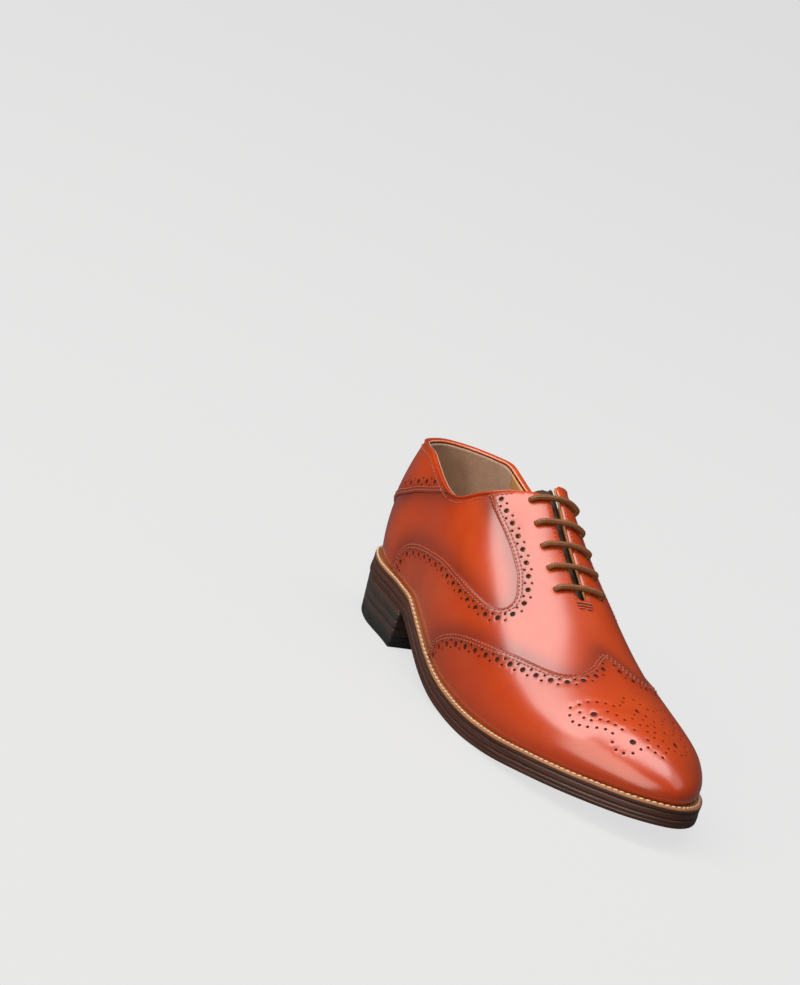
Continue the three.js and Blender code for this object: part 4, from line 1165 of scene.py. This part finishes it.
def collar_row(g_from, g_to):
    return collar_line(HeelPattern, np.linspace(g_from, g_to, 60)) - [0, COLLAR_INSET]


seam_rows = bmesh.new()
for side in SIDES:
    for inset in ROW_INSETS:
        row = beside(ForePattern, wing[side], side * inset)
        sew(seam_rows, ForePattern, row[np.abs(row[:, 1] - axis_y(row[:, 0])) > inset * 0.6], CAP_TOP)
        sew(seam_rows, ForePattern, beside(ForePattern, quarter_fore[side], -side * inset), VAMP_TOP, start=2)
        row = beside(HeelPattern, backstay_edge[side], side * inset)
        sew(seam_rows, HeelPattern, row, VAMP_TOP, start=2)
    sew(seam_rows, ForePattern, beside(ForePattern, facing[side][10:-1], side * FACING_INSET), VAMP_TOP)
    g = [g_at(side, x) for x in (34, 77, 79, 103, 106, throat_top[side] - 3)]
    for first, top in ((2, QUARTER_TOP), (4, VAMP_TOP), (0, VAMP_TOP)):
        sew(seam_rows, HeelPattern, collar_row(g[first], g[first + 1]), top)
sew(seam_rows, HeelPattern, collar_row(3.999, 3.001), VAMP_TOP)
finish_piece(seam_rows, "upper_stitching", "thread")

# %% [markdown]
# ## Swept and sheet pieces
# Beads, laces and linings are long strips of one section. A flat grid is the simplest start:
# one direction becomes the length, the other goes round the section, and merging the doubles
# closes it. Sheets get their thickness from extrude.

# %% Helpers for grids


def grid_of(nx, ny, place):
    """A grid of nx by ny faces moved to place(s, t), with s and t kept as its UV map."""
    bm = bmesh.new()
    bmesh.ops.create_grid(bm, x_segments=nx, y_segments=ny, size=1)
    st = np.array([v.co[:2] for v in bm.verts]) * 0.5 + 0.5
    uv = bm.loops.layers.uv.new("UVMap")
    for face in bm.faces:
        for loop in face.loops:
            loop[uv].uv = st[loop.vert.index]
    for vertex, p in zip(bm.verts, place(st[:, 0], st[:, 1])):
        vertex.co = p
    return bm


def close_up(bm):
    """Merge doubles, fill open ends and turn the faces outwards."""
    bmesh.ops.remove_doubles(bm, verts=bm.verts, dist=1e-3)
    bmesh.ops.dissolve_degenerate(bm, dist=1e-5, edges=bm.edges)
    open_edges = [e for e in bm.edges if e.is_boundary]
    if open_edges:
        bmesh.ops.holes_fill(bm, edges=open_edges)
    bmesh.ops.recalc_face_normals(bm, faces=bm.faces)
    return bm


def sweep(points, normals, half_n, half_b, sides, power, swell):
    """A closed rounded strip along points; half_n and half_b are its half sizes."""
    t = tangents_of(points)
    n = unit(normals - t * (normals * t).sum(-1, keepdims=True))
    b = np.cross(t, n)
    steps, run = len(points) - 1, run_of(points)

    def place(s, u):
        i = np.round(s * steps).astype(int)
        a = u * 2 * math.pi
        c = np.sign(np.cos(a)) * np.abs(np.cos(a)) ** power * half_n
        d = np.sign(np.sin(a)) * np.abs(np.sin(a)) ** power * half_b
        return points[i] + (n[i] * c[:, None] + b[i] * d[:, None]) * swell[i][:, None]
    bm = grid_of(steps, sides, place)
    uv = bm.loops.layers.uv.active
    for face in bm.faces:
        for loop in face.loops:
            loop[uv].uv.x = float(run[round(loop[uv].uv.x * steps)])
    return close_up(bm)


def thick_sheet(nx, ny, outer, inner):
    """A sheet between two faces outer(s, t) and inner(s, t)."""
    bm = grid_of(nx, ny, outer)
    s_layer, t_layer = bm.verts.layers.float.new("s"), bm.verts.layers.float.new("t")
    uv = bm.loops.layers.uv.active
    for face in bm.faces:
        for loop in face.loops:
            loop.vert[s_layer], loop.vert[t_layer] = loop[uv].uv
    bmesh.ops.remove_doubles(bm, verts=bm.verts, dist=0.02)
    bmesh.ops.recalc_face_normals(bm, faces=bm.faces)
    made = bmesh.ops.extrude_face_region(bm, geom=bm.faces[:])
    moved = [v for v in made["geom"] if isinstance(v, bmesh.types.BMVert)]
    places = inner(np.array([v[s_layer] for v in moved]), np.array([v[t_layer] for v in moved]))
    for vertex, p in zip(moved, places):
        vertex.co = p
    bmesh.ops.recalc_face_normals(bm, faces=bm.faces)
    for key in ("s", "t"):
        bm.verts.layers.float.remove(bm.verts.layers.float[key])
    return bm


# %% Collar bead
bead_ends = [g_at(side, throat_top[side] - 0.5) for side in SIDES]
bead_gs = np.concatenate([np.linspace(bead_ends[0], 0, 90), np.linspace(4, 3, 70)[1:],
                          np.linspace(3, bead_ends[1], 90)[1:]])
bead_vs = collar_v(bead_gs)
bead_normals = outward(bead_gs, bead_vs)
bead_points = last(bead_gs, bead_vs) - bead_normals * 1.05
ease = np.clip(np.minimum(np.arange(len(bead_gs)), np.arange(len(bead_gs))[::-1]) / 5, 0.25, 1)
finish_piece(sweep(bead_points, bead_normals, 1.7, 0.62, 12, 0.8, ease), "collar_bead", "calf")
bead_up = np.cross(tangents_of(bead_points), bead_normals)
bead_up *= np.sign(bead_up[:, 2:3])
finish_piece(sweep(bead_points - bead_normals * 1.1 + bead_up * 0.42, bead_normals, 0.28, 0.26, 6, 1.0, ease),
             "collar_cut_edge", "lining", look=cut_edge)

# %% [markdown]
# ## Linings, insole and tongue
# The linings are smooth sheets that follow the same last a little further in, and end at the
# collar. At the heel the grip is suede, so that the foot doesn't slip. The shoe's floor is the
# leather insole with a sock of lining leather over the heel.

# %% Linings
LINING, LINING_AT, STIFFENED_AT = 1.0, -1.75, -3.1
top_gs = np.linspace(0, 4, 801)


def wall_top(g):
    """How high the lining goes: to the collar, to the slit, or right over."""
    x = ray(g)[0]
    top_x = np.where(g < 2, throat_top[-1], throat_top[1])
    in_throat = (top_x < x) & (x < THROAT_END + 4) & ((g < 1) | ((2 < g) & (g < 3)))
    open_top = np.where(x <= top_x, collar_v(g) - 0.006, 0.9995)
    return np.where(in_throat, v_at_side(g, THROAT_HALF_WIDTH + 0.3), open_top)


top_vs = wall_top(top_gs)


def lining_depth(g, v):
    """The lining stands in further where the toe puff and the counter are behind it."""
    x = ray(g)[0] + section(g)[5] * ray(g)[2]
    toe = np.clip((x - 205) / 23, 0, 1)
    heel = np.clip((86 - x) / 24, 0, 1) * np.clip((0.62 - v) / 0.2, 0, 1)
    share = np.maximum(toe, heel)
    return LINING_AT + (STIFFENED_AT - LINING_AT) * share * share * (3 - 2 * share)


def lining_piece(name, node_name, slot, g_from, g_to, nx, ny=36):
    def gv(s, t):
        g = np.mod(g_from + (g_to - g_from) * s, 4)
        return g, t * np.interp(g, top_gs, top_vs)

    def at(s, t, extra):
        g, v = gv(s, t)
        return skin(g, v, lining_depth(g, v) - extra)
    bm = thick_sheet(nx, ny, lambda s, t: at(s, t, 0), lambda s, t: at(s, t, LINING))
    return finish_piece(bm, name, slot, [node_name])


LINING_FORE, LINING_REAR = 152, 42
outer_fore, outer_rear, inner_fore, inner_rear = (
    g_at(side, x) for side in SIDES for x in (LINING_FORE, LINING_REAR))
lining_piece("quarter_lining_lateral_leather", "quarter_lining_lateral", "lining", outer_rear, outer_fore, 60)
lining_piece("quarter_lining_medial_leather", "quarter_lining_medial", "lining", inner_fore, inner_rear, 60)
lining_piece("heel_grip_suede", "heel_grip", "suede", inner_rear, 4 + outer_rear, 90)
lining_piece("vamp_lining_leather", "vamp_lining", "lining", outer_fore, inner_fore, 120, 30)

# a sheet under the cap, coloured near black as painted shade, which shows through the punched toe
SHADE_SHEET_G, SHADE_SHEET_V, SHADE_SHEET = (0.868, 1.264), (0.25, 0.7495), 0.5


def shade_sheet(depth):
    (g, g_run), (v, v_run) = SHADE_SHEET_G, SHADE_SHEET_V
    return lambda s, t: skin(g + g_run * s, v + v_run * t, np.full(len(s), -depth))


backing = thick_sheet(70, 24, shade_sheet(0), shade_sheet(SHADE_SHEET))
finish_piece(backing, "toe_shade_sheet", "lining", look=hole_shade_leather)

# %% Sole layers
SOLE_ROUND = 480


def layer(profile_rows, name, slot, nodes=(), more_looks=(), look_of=None, cut_at=None):
    """A layer from rows of [measured from, inset, height over the underside]."""
    rows = len(profile_rows) - 1

    def place(s, t):
        x, y, dx, dy, edge, feather, _, _, _ = section(4 * s)
        row = np.round(t * rows).astype(int)
        kinds = np.array([r[0] for r in profile_rows])[row]
        inset = np.array([r[1] for r in profile_rows], float)[row]
        r = np.select([kinds == "edge", kinds == "feather"], [edge - inset, feather - inset], 0.0)
        height = np.array([p[2] for p in profile_rows], float)[row]
        px = x + r * dx
        return np.stack([px, y + r * dy, underside(px) + height], -1)
    bm = grid_of(SOLE_ROUND, rows, place)
    if look_of:
        uv = bm.loops.layers.uv.active
        for face in bm.faces:
            t = sum(loop[uv].uv.y for loop in face.loops) / len(face.loops)
            face.material_index = look_of(t * rows)
    close_up(bm)
    if cut_at:
        bmesh.ops.bisect_plane(bm, geom=bm.verts[:] + bm.edges[:] + bm.faces[:], plane_co=(cut_at, 0, 0),
                               plane_no=(1, 0, 0), clear_outer=True)
        close_up(bm)
    return finish_piece(bm, name, slot, nodes, more_looks=more_looks)


layer([["axis", 0, 0], ["edge", 8, 0], ["edge", 1.1, 0], ["edge", 0.4, 0.12], ["edge", 0.08, 0.6],
       ["edge", 0, 1.5], ["edge", 0, 2.05], ["edge", 0.3, 2.25], ["edge", 0, 2.45], ["edge", 0, 3.6],
       ["edge", 0.1, 4.1], ["edge", 0.5, 4.45], ["edge", 8, OUTSOLE], ["axis", 0, OUTSOLE]],
      "outsole_leather", "sole_leather", ["outsole"])
layer([["axis", 0, OUTSOLE + 0.05], ["edge", 8, OUTSOLE + 0.05], ["edge", 0.7, 4.58], ["edge", 0.3, 4.8],
       ["edge", 0.22, 5.4], ["edge", 0.22, 7.2], ["edge", 0.35, 7.75], ["edge", 0.8, 7.95],
       ["edge", 8, 8.0], ["axis", 0, 8.0]], "midsole_leather", "sole_leather", ["midsole"])
layer([["feather", UNDER_UPPER, WELT_TOP], ["feather", -0.6, WELT_TOP], ["edge", 1.5, WELT_TOP],
       ["edge", 0.7, WELT_TOP - 0.1], ["edge", 0.28, WELT_TOP - 0.4], ["edge", 0.12, WELT_TOP - 0.95],
       ["edge", 0.1, 8.7], ["edge", 0.3, 8.25], ["edge", 0.9, 8.05], ["feather", UNDER_UPPER, 8.05],
       ["feather", UNDER_UPPER, WELT_TOP]],
      "welt_strip", "welt", ["welt"], [LOOKS["sole_leather"]], lambda row: int(5 < row < 9))
inside_welt = UNDER_UPPER + 0.4
layer([["axis", 0, INSOLE_LOW], ["feather", inside_welt + 1, INSOLE_LOW],
       ["feather", inside_welt, INSOLE_LOW + 0.5], ["feather", inside_welt, INSOLE_TOP - 0.5],
       ["feather", inside_welt + 0.8, INSOLE_TOP], ["feather", inside_welt + 8, INSOLE_TOP],
       ["axis", 0, INSOLE_TOP]], "insole_leather_board", "insole", ["insole"])
sock_low = INSOLE_TOP + 0.15
layer([["axis", 0, sock_low], ["feather", inside_welt + 1.4, sock_low],
       ["feather", inside_welt + 1.2, sock_low + 0.5], ["feather", inside_welt + 1.8, sock_low + 1],
       ["feather", inside_welt + 8, sock_low + 1.1], ["axis", 0, sock_low + 1.15]],
      "heel_sock_leather", "lining", ["heel_sock"], cut_at=96)

# %% Welt stitching
WELT_PITCH, WELT_STITCH, WELT_THREAD, WELT_ROW, WELT_SKEW = 3.4, 3.1, 0.74, 0.34, 0.22

welt_rows = bmesh.new()
stitch_gs = np.interp(np.arange(0, 1, 1 / 1200), np.linspace(0, 1, len(round_g)), round_g)
x, y, dx, dy, edge, feather, _, _, _ = section(stitch_gs)
r = edge - (edge - feather) * WELT_ROW
line = np.stack([x + r * dx, y + r * dy], -1)
run = run_of(line)
line = at_runs(line, run, np.linspace(0, run[-1], int(run[-1] / WELT_PITCH)))
points = np.concatenate([line, (underside(line[:, 0]) + WELT_TOP + 0.12)[:, None]], 1)
tangents = tangents_of(points)
ups = unit(np.cross(tangents, np.cross(np.array([[0, 0, 1.0]]), tangents)))
skewed = unit(tangents + np.cross(ups, tangents) * WELT_SKEW)
add_stitches(welt_rows, points, ups, skewed, WELT_STITCH, WELT_THREAD)
finish_piece(welt_rows, "welt_stitching", "thread", look=cream_thread)

# %% [markdown]
# ## Heel
# The heel is a stack of leather lifts on a rubber top piece, trimmed together to one shape
# that leans in towards the ground. Each lift keeps a fine rounded edge, which draws the lines
# of the stack.

# %% Heel stack
HEEL_BREAST, HEEL_HEIGHT, TOP_PIECE, LIFT = 76, 22.5, 6, 4.7
HEEL_ROUND, HEEL_CENTRE = 150, [38.0, 0.0]
NAIL_INSET, NAIL_EVERY, BREAST_STEPS = 5.5, 9, 34


def heel_outline(z, inset):
    taper = 1.6 * (1 - z / HEEL_HEIGHT)
    breast, rear = HEEL_BREAST - 2.5 * taper - inset, taper * 1.2 + 0.3 + inset
    s = np.linspace(0, 1, 60)
    x = rear + (breast - rear) * (1 - np.cos(math.pi / 2 * s))
    sides = {}
    for side in SIDES:
        span = reach(np.maximum(x - rear, 0.02), np.zeros(len(x)), np.zeros(len(x)), np.full(len(x), side))
        sides[side] = np.stack([x, side * np.maximum(span - 0.5 - taper - inset, 0) * (s > 0)], -1)
    across = np.linspace(0, 1, 14)[1:-1]
    a, b = sides[1][-1], sides[-1][-1]
    front = a + (b - a) * across[:, None] - [1, 0] * (1.6 * np.sin(math.pi * across))[:, None]
    loop = np.concatenate([sides[-1][::-1], sides[1][1:], front, sides[-1][-1:]])
    run = run_of(loop)
    return at_runs(loop, run, np.linspace(0, run[-1], HEEL_ROUND + 1))


def heel_piece(name, node_name, slot, low, high, look=None):
    rows = [(None, low), (6, low), (0.9, low), (0.28, low + 0.1), (0.05, low + 0.45), (0, low + 0.8),
            (0, high - 0.8), (0.05, high - 0.45), (0.28, high - 0.1), (0.9, high), (6, high), (None, high)]
    if high - low < 2:
        rows = [(None, low), (6, low), (0.3, low), (0, (low + high) / 2),
                (0.3, high), (6, high), (None, high)]
    rings = []
    for inset, z in rows:
        outline = np.tile(HEEL_CENTRE, (HEEL_ROUND + 1, 1)) if inset is None else heel_outline(z, inset)
        rings.append(np.concatenate([outline, np.full((HEEL_ROUND + 1, 1), z)], 1))
    rings, steps = np.array(rings), len(rows) - 1

    def place(s, t):
        return rings[np.round(t * steps).astype(int), np.round(s * HEEL_ROUND).astype(int)]
    finish_piece(close_up(grid_of(HEEL_ROUND, steps, place)), name, slot, [node_name], look)


heel_piece("heel_top_piece_rubber", "heel_top_piece", "rubber", 0, TOP_PIECE + 0.1)
level_z = TOP_PIECE + GAP
for i in (1, 2, 3):
    heel_piece(f"heel_lift_{i}_leather", f"heel_lift_{i}", "heel_stack", level_z - 0.1, level_z + LIFT + 0.1)
    level_z += LIFT + GAP
heel_piece("heel_rand_strip", "heel_rand", "welt", level_z - 0.1, HEEL_HEIGHT - 0.05, rand_look)
nails = bmesh.new()
ring = heel_outline(0, NAIL_INSET)
for i in range(0, HEEL_ROUND - BREAST_STEPS, NAIL_EVERY):
    head = Matrix.Translation((*ring[i + 4], 0.32)) @ Matrix.Diagonal((0.9, 0.9, 0.3, 1))
    bmesh.ops.create_uvsphere(nails, u_segments=8, v_segments=5, radius=1, matrix=head)
finish_piece(nails, "heel_nails", "steel")

# %% Tongue
TONGUE, TONGUE_DEPTH, TONGUE_ROOT, TONGUE_BACK, TONGUE_FROM, TONGUE_TO = 1.8, 9.8, 3.6, 112, 109, 186
TONGUE_HALF, TONGUE_NARROWS, TONGUE_RISES = 27, 7, 173
TONGUE_BULGE, BULGE_WIDTH, BULGE_SHIFT, MIDDLE_SHARE = 6.2, 8, 1.5, 0.12


def tongue_face(extra):
    def place(s, t):
        x = TONGUE_BACK + (TONGUE_TO - TONGUE_BACK) * s
        a = (t - 0.5) * 2
        corners = 1 - 0.14 * np.clip(1 - s / 0.1, 0, 1) ** 2
        half = (TONGUE_HALF - TONGUE_NARROWS * (x - TONGUE_FROM) / (TONGUE_TO - TONGUE_FROM)) * corners
        rise = np.clip((x - TONGUE_RISES) / (TONGUE_TO - TONGUE_RISES), 0, 1)
        bulge = TONGUE_BULGE * np.exp(-((a * half - BULGE_SHIFT) / BULGE_WIDTH) ** 2) * (1 - rise)
        depth = TONGUE_DEPTH + (TONGUE_ROOT - TONGUE_DEPTH) * rise - bulge + extra
        g = side_g(np.where(a < 0, -1, 1), x)
        wall_point = skin(g, v_at_side(g, np.maximum(np.abs(a), MIDDLE_SHARE) * half), -depth)
        middle = np.stack([x, axis_y(x), ridge(x) - depth * 1.12], -1)
        return middle + (wall_point - middle) * np.clip(np.abs(a) / MIDDLE_SHARE, 0, 1)[:, None]
    return place


# the tongue wears the near-black look, painted shade in the throat
finish_piece(thick_sheet(42, 20, tongue_face(0), tongue_face(TONGUE)), "tongue_leather", "lining", ["tongue"],
             look=shaded_tongue_look, body="tongue")

# %% [markdown]
# ## Lace
# A round waxed braid laced in straight bars: outside it crosses between two eyelets, inside it
# runs along under the facing to the next one, and both ends are tucked down inside the shoe.
# The eyelets hold it all the way.

# %% Lace route
LACE_RADIUS, BEND, LANE, LACE_STEP = 1.5, 2.0, 3.7, 0.75
FACING_CALF, FACING_LINING = 1.4, 1.0
RING_DEPTH = FACING_CALF + GAP + FACING_LINING + 3 * GAP
OVER, UNDER = LACE_RADIUS + 0.4, -(RING_DEPTH + 0.8 + GAP) - LACE_RADIUS
TAIL_WALL = [[3, 0.74], [8, 0.6], [13, 0.47], [18, 0.35], [24, 0.24], [33, 0.17]]
TAIL_FLOOR = [[44, 0], [58, 2], [72, 4]]


def eyelet(side, row):
    g = g_at(side, EYELET_X[row - 1])
    v = v_at_side(g, EYELET_SIDE)
    return last(g, v), outward(g, v)


def lace_point(x, y, off):
    g = g_at(-1 if y < 0 else 1, x)
    return skin(g, 0.99 if abs(y) < 0.5 else v_at_side(g, abs(y)), off)


def bend_at(hole, towards, level_off, sign):
    """Quarter turn between the axis of a hole and the way along the leather."""
    at, normal = hole
    along = towards - at
    along = unit(along - normal * (along @ normal))
    return [at + normal * (level_off - sign * BEND * (1 - math.sin(a))) + along * BEND * (1 - math.cos(a))
            for a in map(math.radians, (5, 40, 75))]


def bar(row, start):
    x = EYELET_X[row - 1]
    across = [lace_point(x, start * y, OVER) for y in (9, 4.5, 0, -4.5, -9)]
    return (bend_at(eyelet(start, row), lace_point(x, start * 6, 0), OVER, 1) + across
            + bend_at(eyelet(-start, row), lace_point(x, -start * 6, 0), OVER, 1)[::-1])


def inner_run(side, from_row, to_row, lane):
    x0, x1 = EYELET_X[from_row - 1], EYELET_X[to_row - 1]
    step = math.copysign(1, x1 - x0)

    def at(x, shift):
        return lace_point(x, side * (EYELET_SIDE + shift), UNDER)
    if abs(to_row - from_row) > 1:
        middle = [at(x0 + (x1 - x0) * t, lane) for t in (0.3, 0.5, 0.7)]
    else:
        middle = [at((x0 + x1) / 2, 0)]
    return (bend_at(eyelet(side, from_row), at(x0 + 6 * step, lane * 0.3), UNDER, -1) + middle
            + bend_at(eyelet(side, to_row), at(x1 - 6 * step, lane * 0.3), UNDER, -1)[::-1])


def tail(side, row):
    x = EYELET_X[row - 1]
    down = [skin(g_at(side, x + dx), v, UNDER + 0.4) for dx, v in TAIL_WALL]
    along = []
    for dx, inwards in TAIL_FLOOR:
        _, cy, _, _, _, feather, _, _, _ = section(side_g(side, x + dx))
        z = float(underside(x + dx)) + INSOLE_TOP + LACE_RADIUS + 0.8
        along.append(np.array([x + dx, float(cy) + side * (float(feather) - 9.5 - inwards), z]))
    return bend_at(eyelet(side, row), down[0], UNDER, -1) + down + along


route = (tail(-1, 2)[::-1] + bar(2, -1) + inner_run(1, 2, 4, LANE)
         + bar(4, 1) + inner_run(-1, 4, 5, 0)
         + bar(5, -1) + inner_run(1, 5, 3, -LANE)
         + bar(3, 1) + inner_run(-1, 3, 1, -LANE)
         + bar(1, -1) + tail(1, 1))
fine_route = smooth_line(route, 8)
run = run_of(fine_route)
even = np.linspace(0, run[-1], int(run[-1] / LACE_STEP))
lace_line = at_runs(fine_route, run, even)


def carried_normals(points):
    """Normals carried along a line without twist."""
    t = tangents_of(points)
    n = [unit(np.cross(t[0], [0.0, 0.0, 1.0]))]
    for k in range(1, len(points)):
        n.append(unit(n[-1] - t[k] * (n[-1] @ t[k])))
    return np.array(n)


pulse = 1 + 0.035 * np.sin(even * 2 * math.pi / 2.2)
lace = sweep(lace_line, carried_normals(lace_line), LACE_RADIUS * 1.08, LACE_RADIUS, 12, 1.0, pulse)
finish_piece(lace, "lace_braid", "cord", ["lace"])
print("lace length in mm:", round(run[-1]))
for name, end, before in (("lateral", route[0], route[1]), ("medial", route[-1], route[-2])):
    way = unit(unit(end - before) + [0, 0, 0.06])
    at = np.array([-1.5, -1.2, 0, 3, 6, 9, 11.4, 11.9, 12.0])
    swell = np.array([0.96, 1.04, 1.0, 1.0, 1.0, 1.0, 0.96, 0.8, 0.4])
    spots = end + way * at[:, None]
    sleeve = sweep(spots, carried_normals(spots), 1.3, 1.3, 14, 1.0, swell)
    finish_piece(sleeve, f"aglet_{name}_sleeve", "cord", [f"aglet_{name}"], look=aglet_look)

# %% Throat tack
TACK_X, TACK_HALF, TACK_UP, TACK_THREAD = (176.7, 178.3, 179.9), 4.2, 0.42, 0.5


def tack_point(x, y):
    on_ridge = np.array([x, float(axis_y(x)), float(ridge(x)) + TACK_UP])
    return lace_point(x, y, TACK_UP) if abs(y) > 0.4 else on_ridge


tack = bmesh.new()
for k, x in enumerate(TACK_X):
    half = TACK_HALF - 0.4 * k
    spots = np.array([tack_point(x, y) for y in np.linspace(-half, half, 8)])
    ups = np.tile([0.4, 0.0, 0.9], (len(spots), 1))
    add_stitches(tack, spots, unit(ups), tangents_of(spots), STITCH, TACK_THREAD)
finish_piece(tack, "throat_tack_thread", "thread", ["throat_tack"])

# %% [markdown]
# ## What stays as it came
# The shank, the cork, the stiffeners and the blind eyelet rings are plain parts whose CAD shape
# is already their real one. They only need a finish, so they keep their own meshes.

# %% Finishes for carried-over nodes
shown_nodes = {"cork_filler": "cork", "shank": "steel", "heel_counter": "stiffener", "toe_puff": "stiffener"}
for side in ("lateral", "medial"):
    for row in range(1, 6):
        shown_nodes[f"eyelet_{side}_{row}"] = "steel"
for node_name, slot in shown_nodes.items():
    cad_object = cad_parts[node_name]
    cad_object.data.materials.clear()
    cad_object.data.materials.append(LOOKS[slot])
print("carried over:", len(shown_nodes))
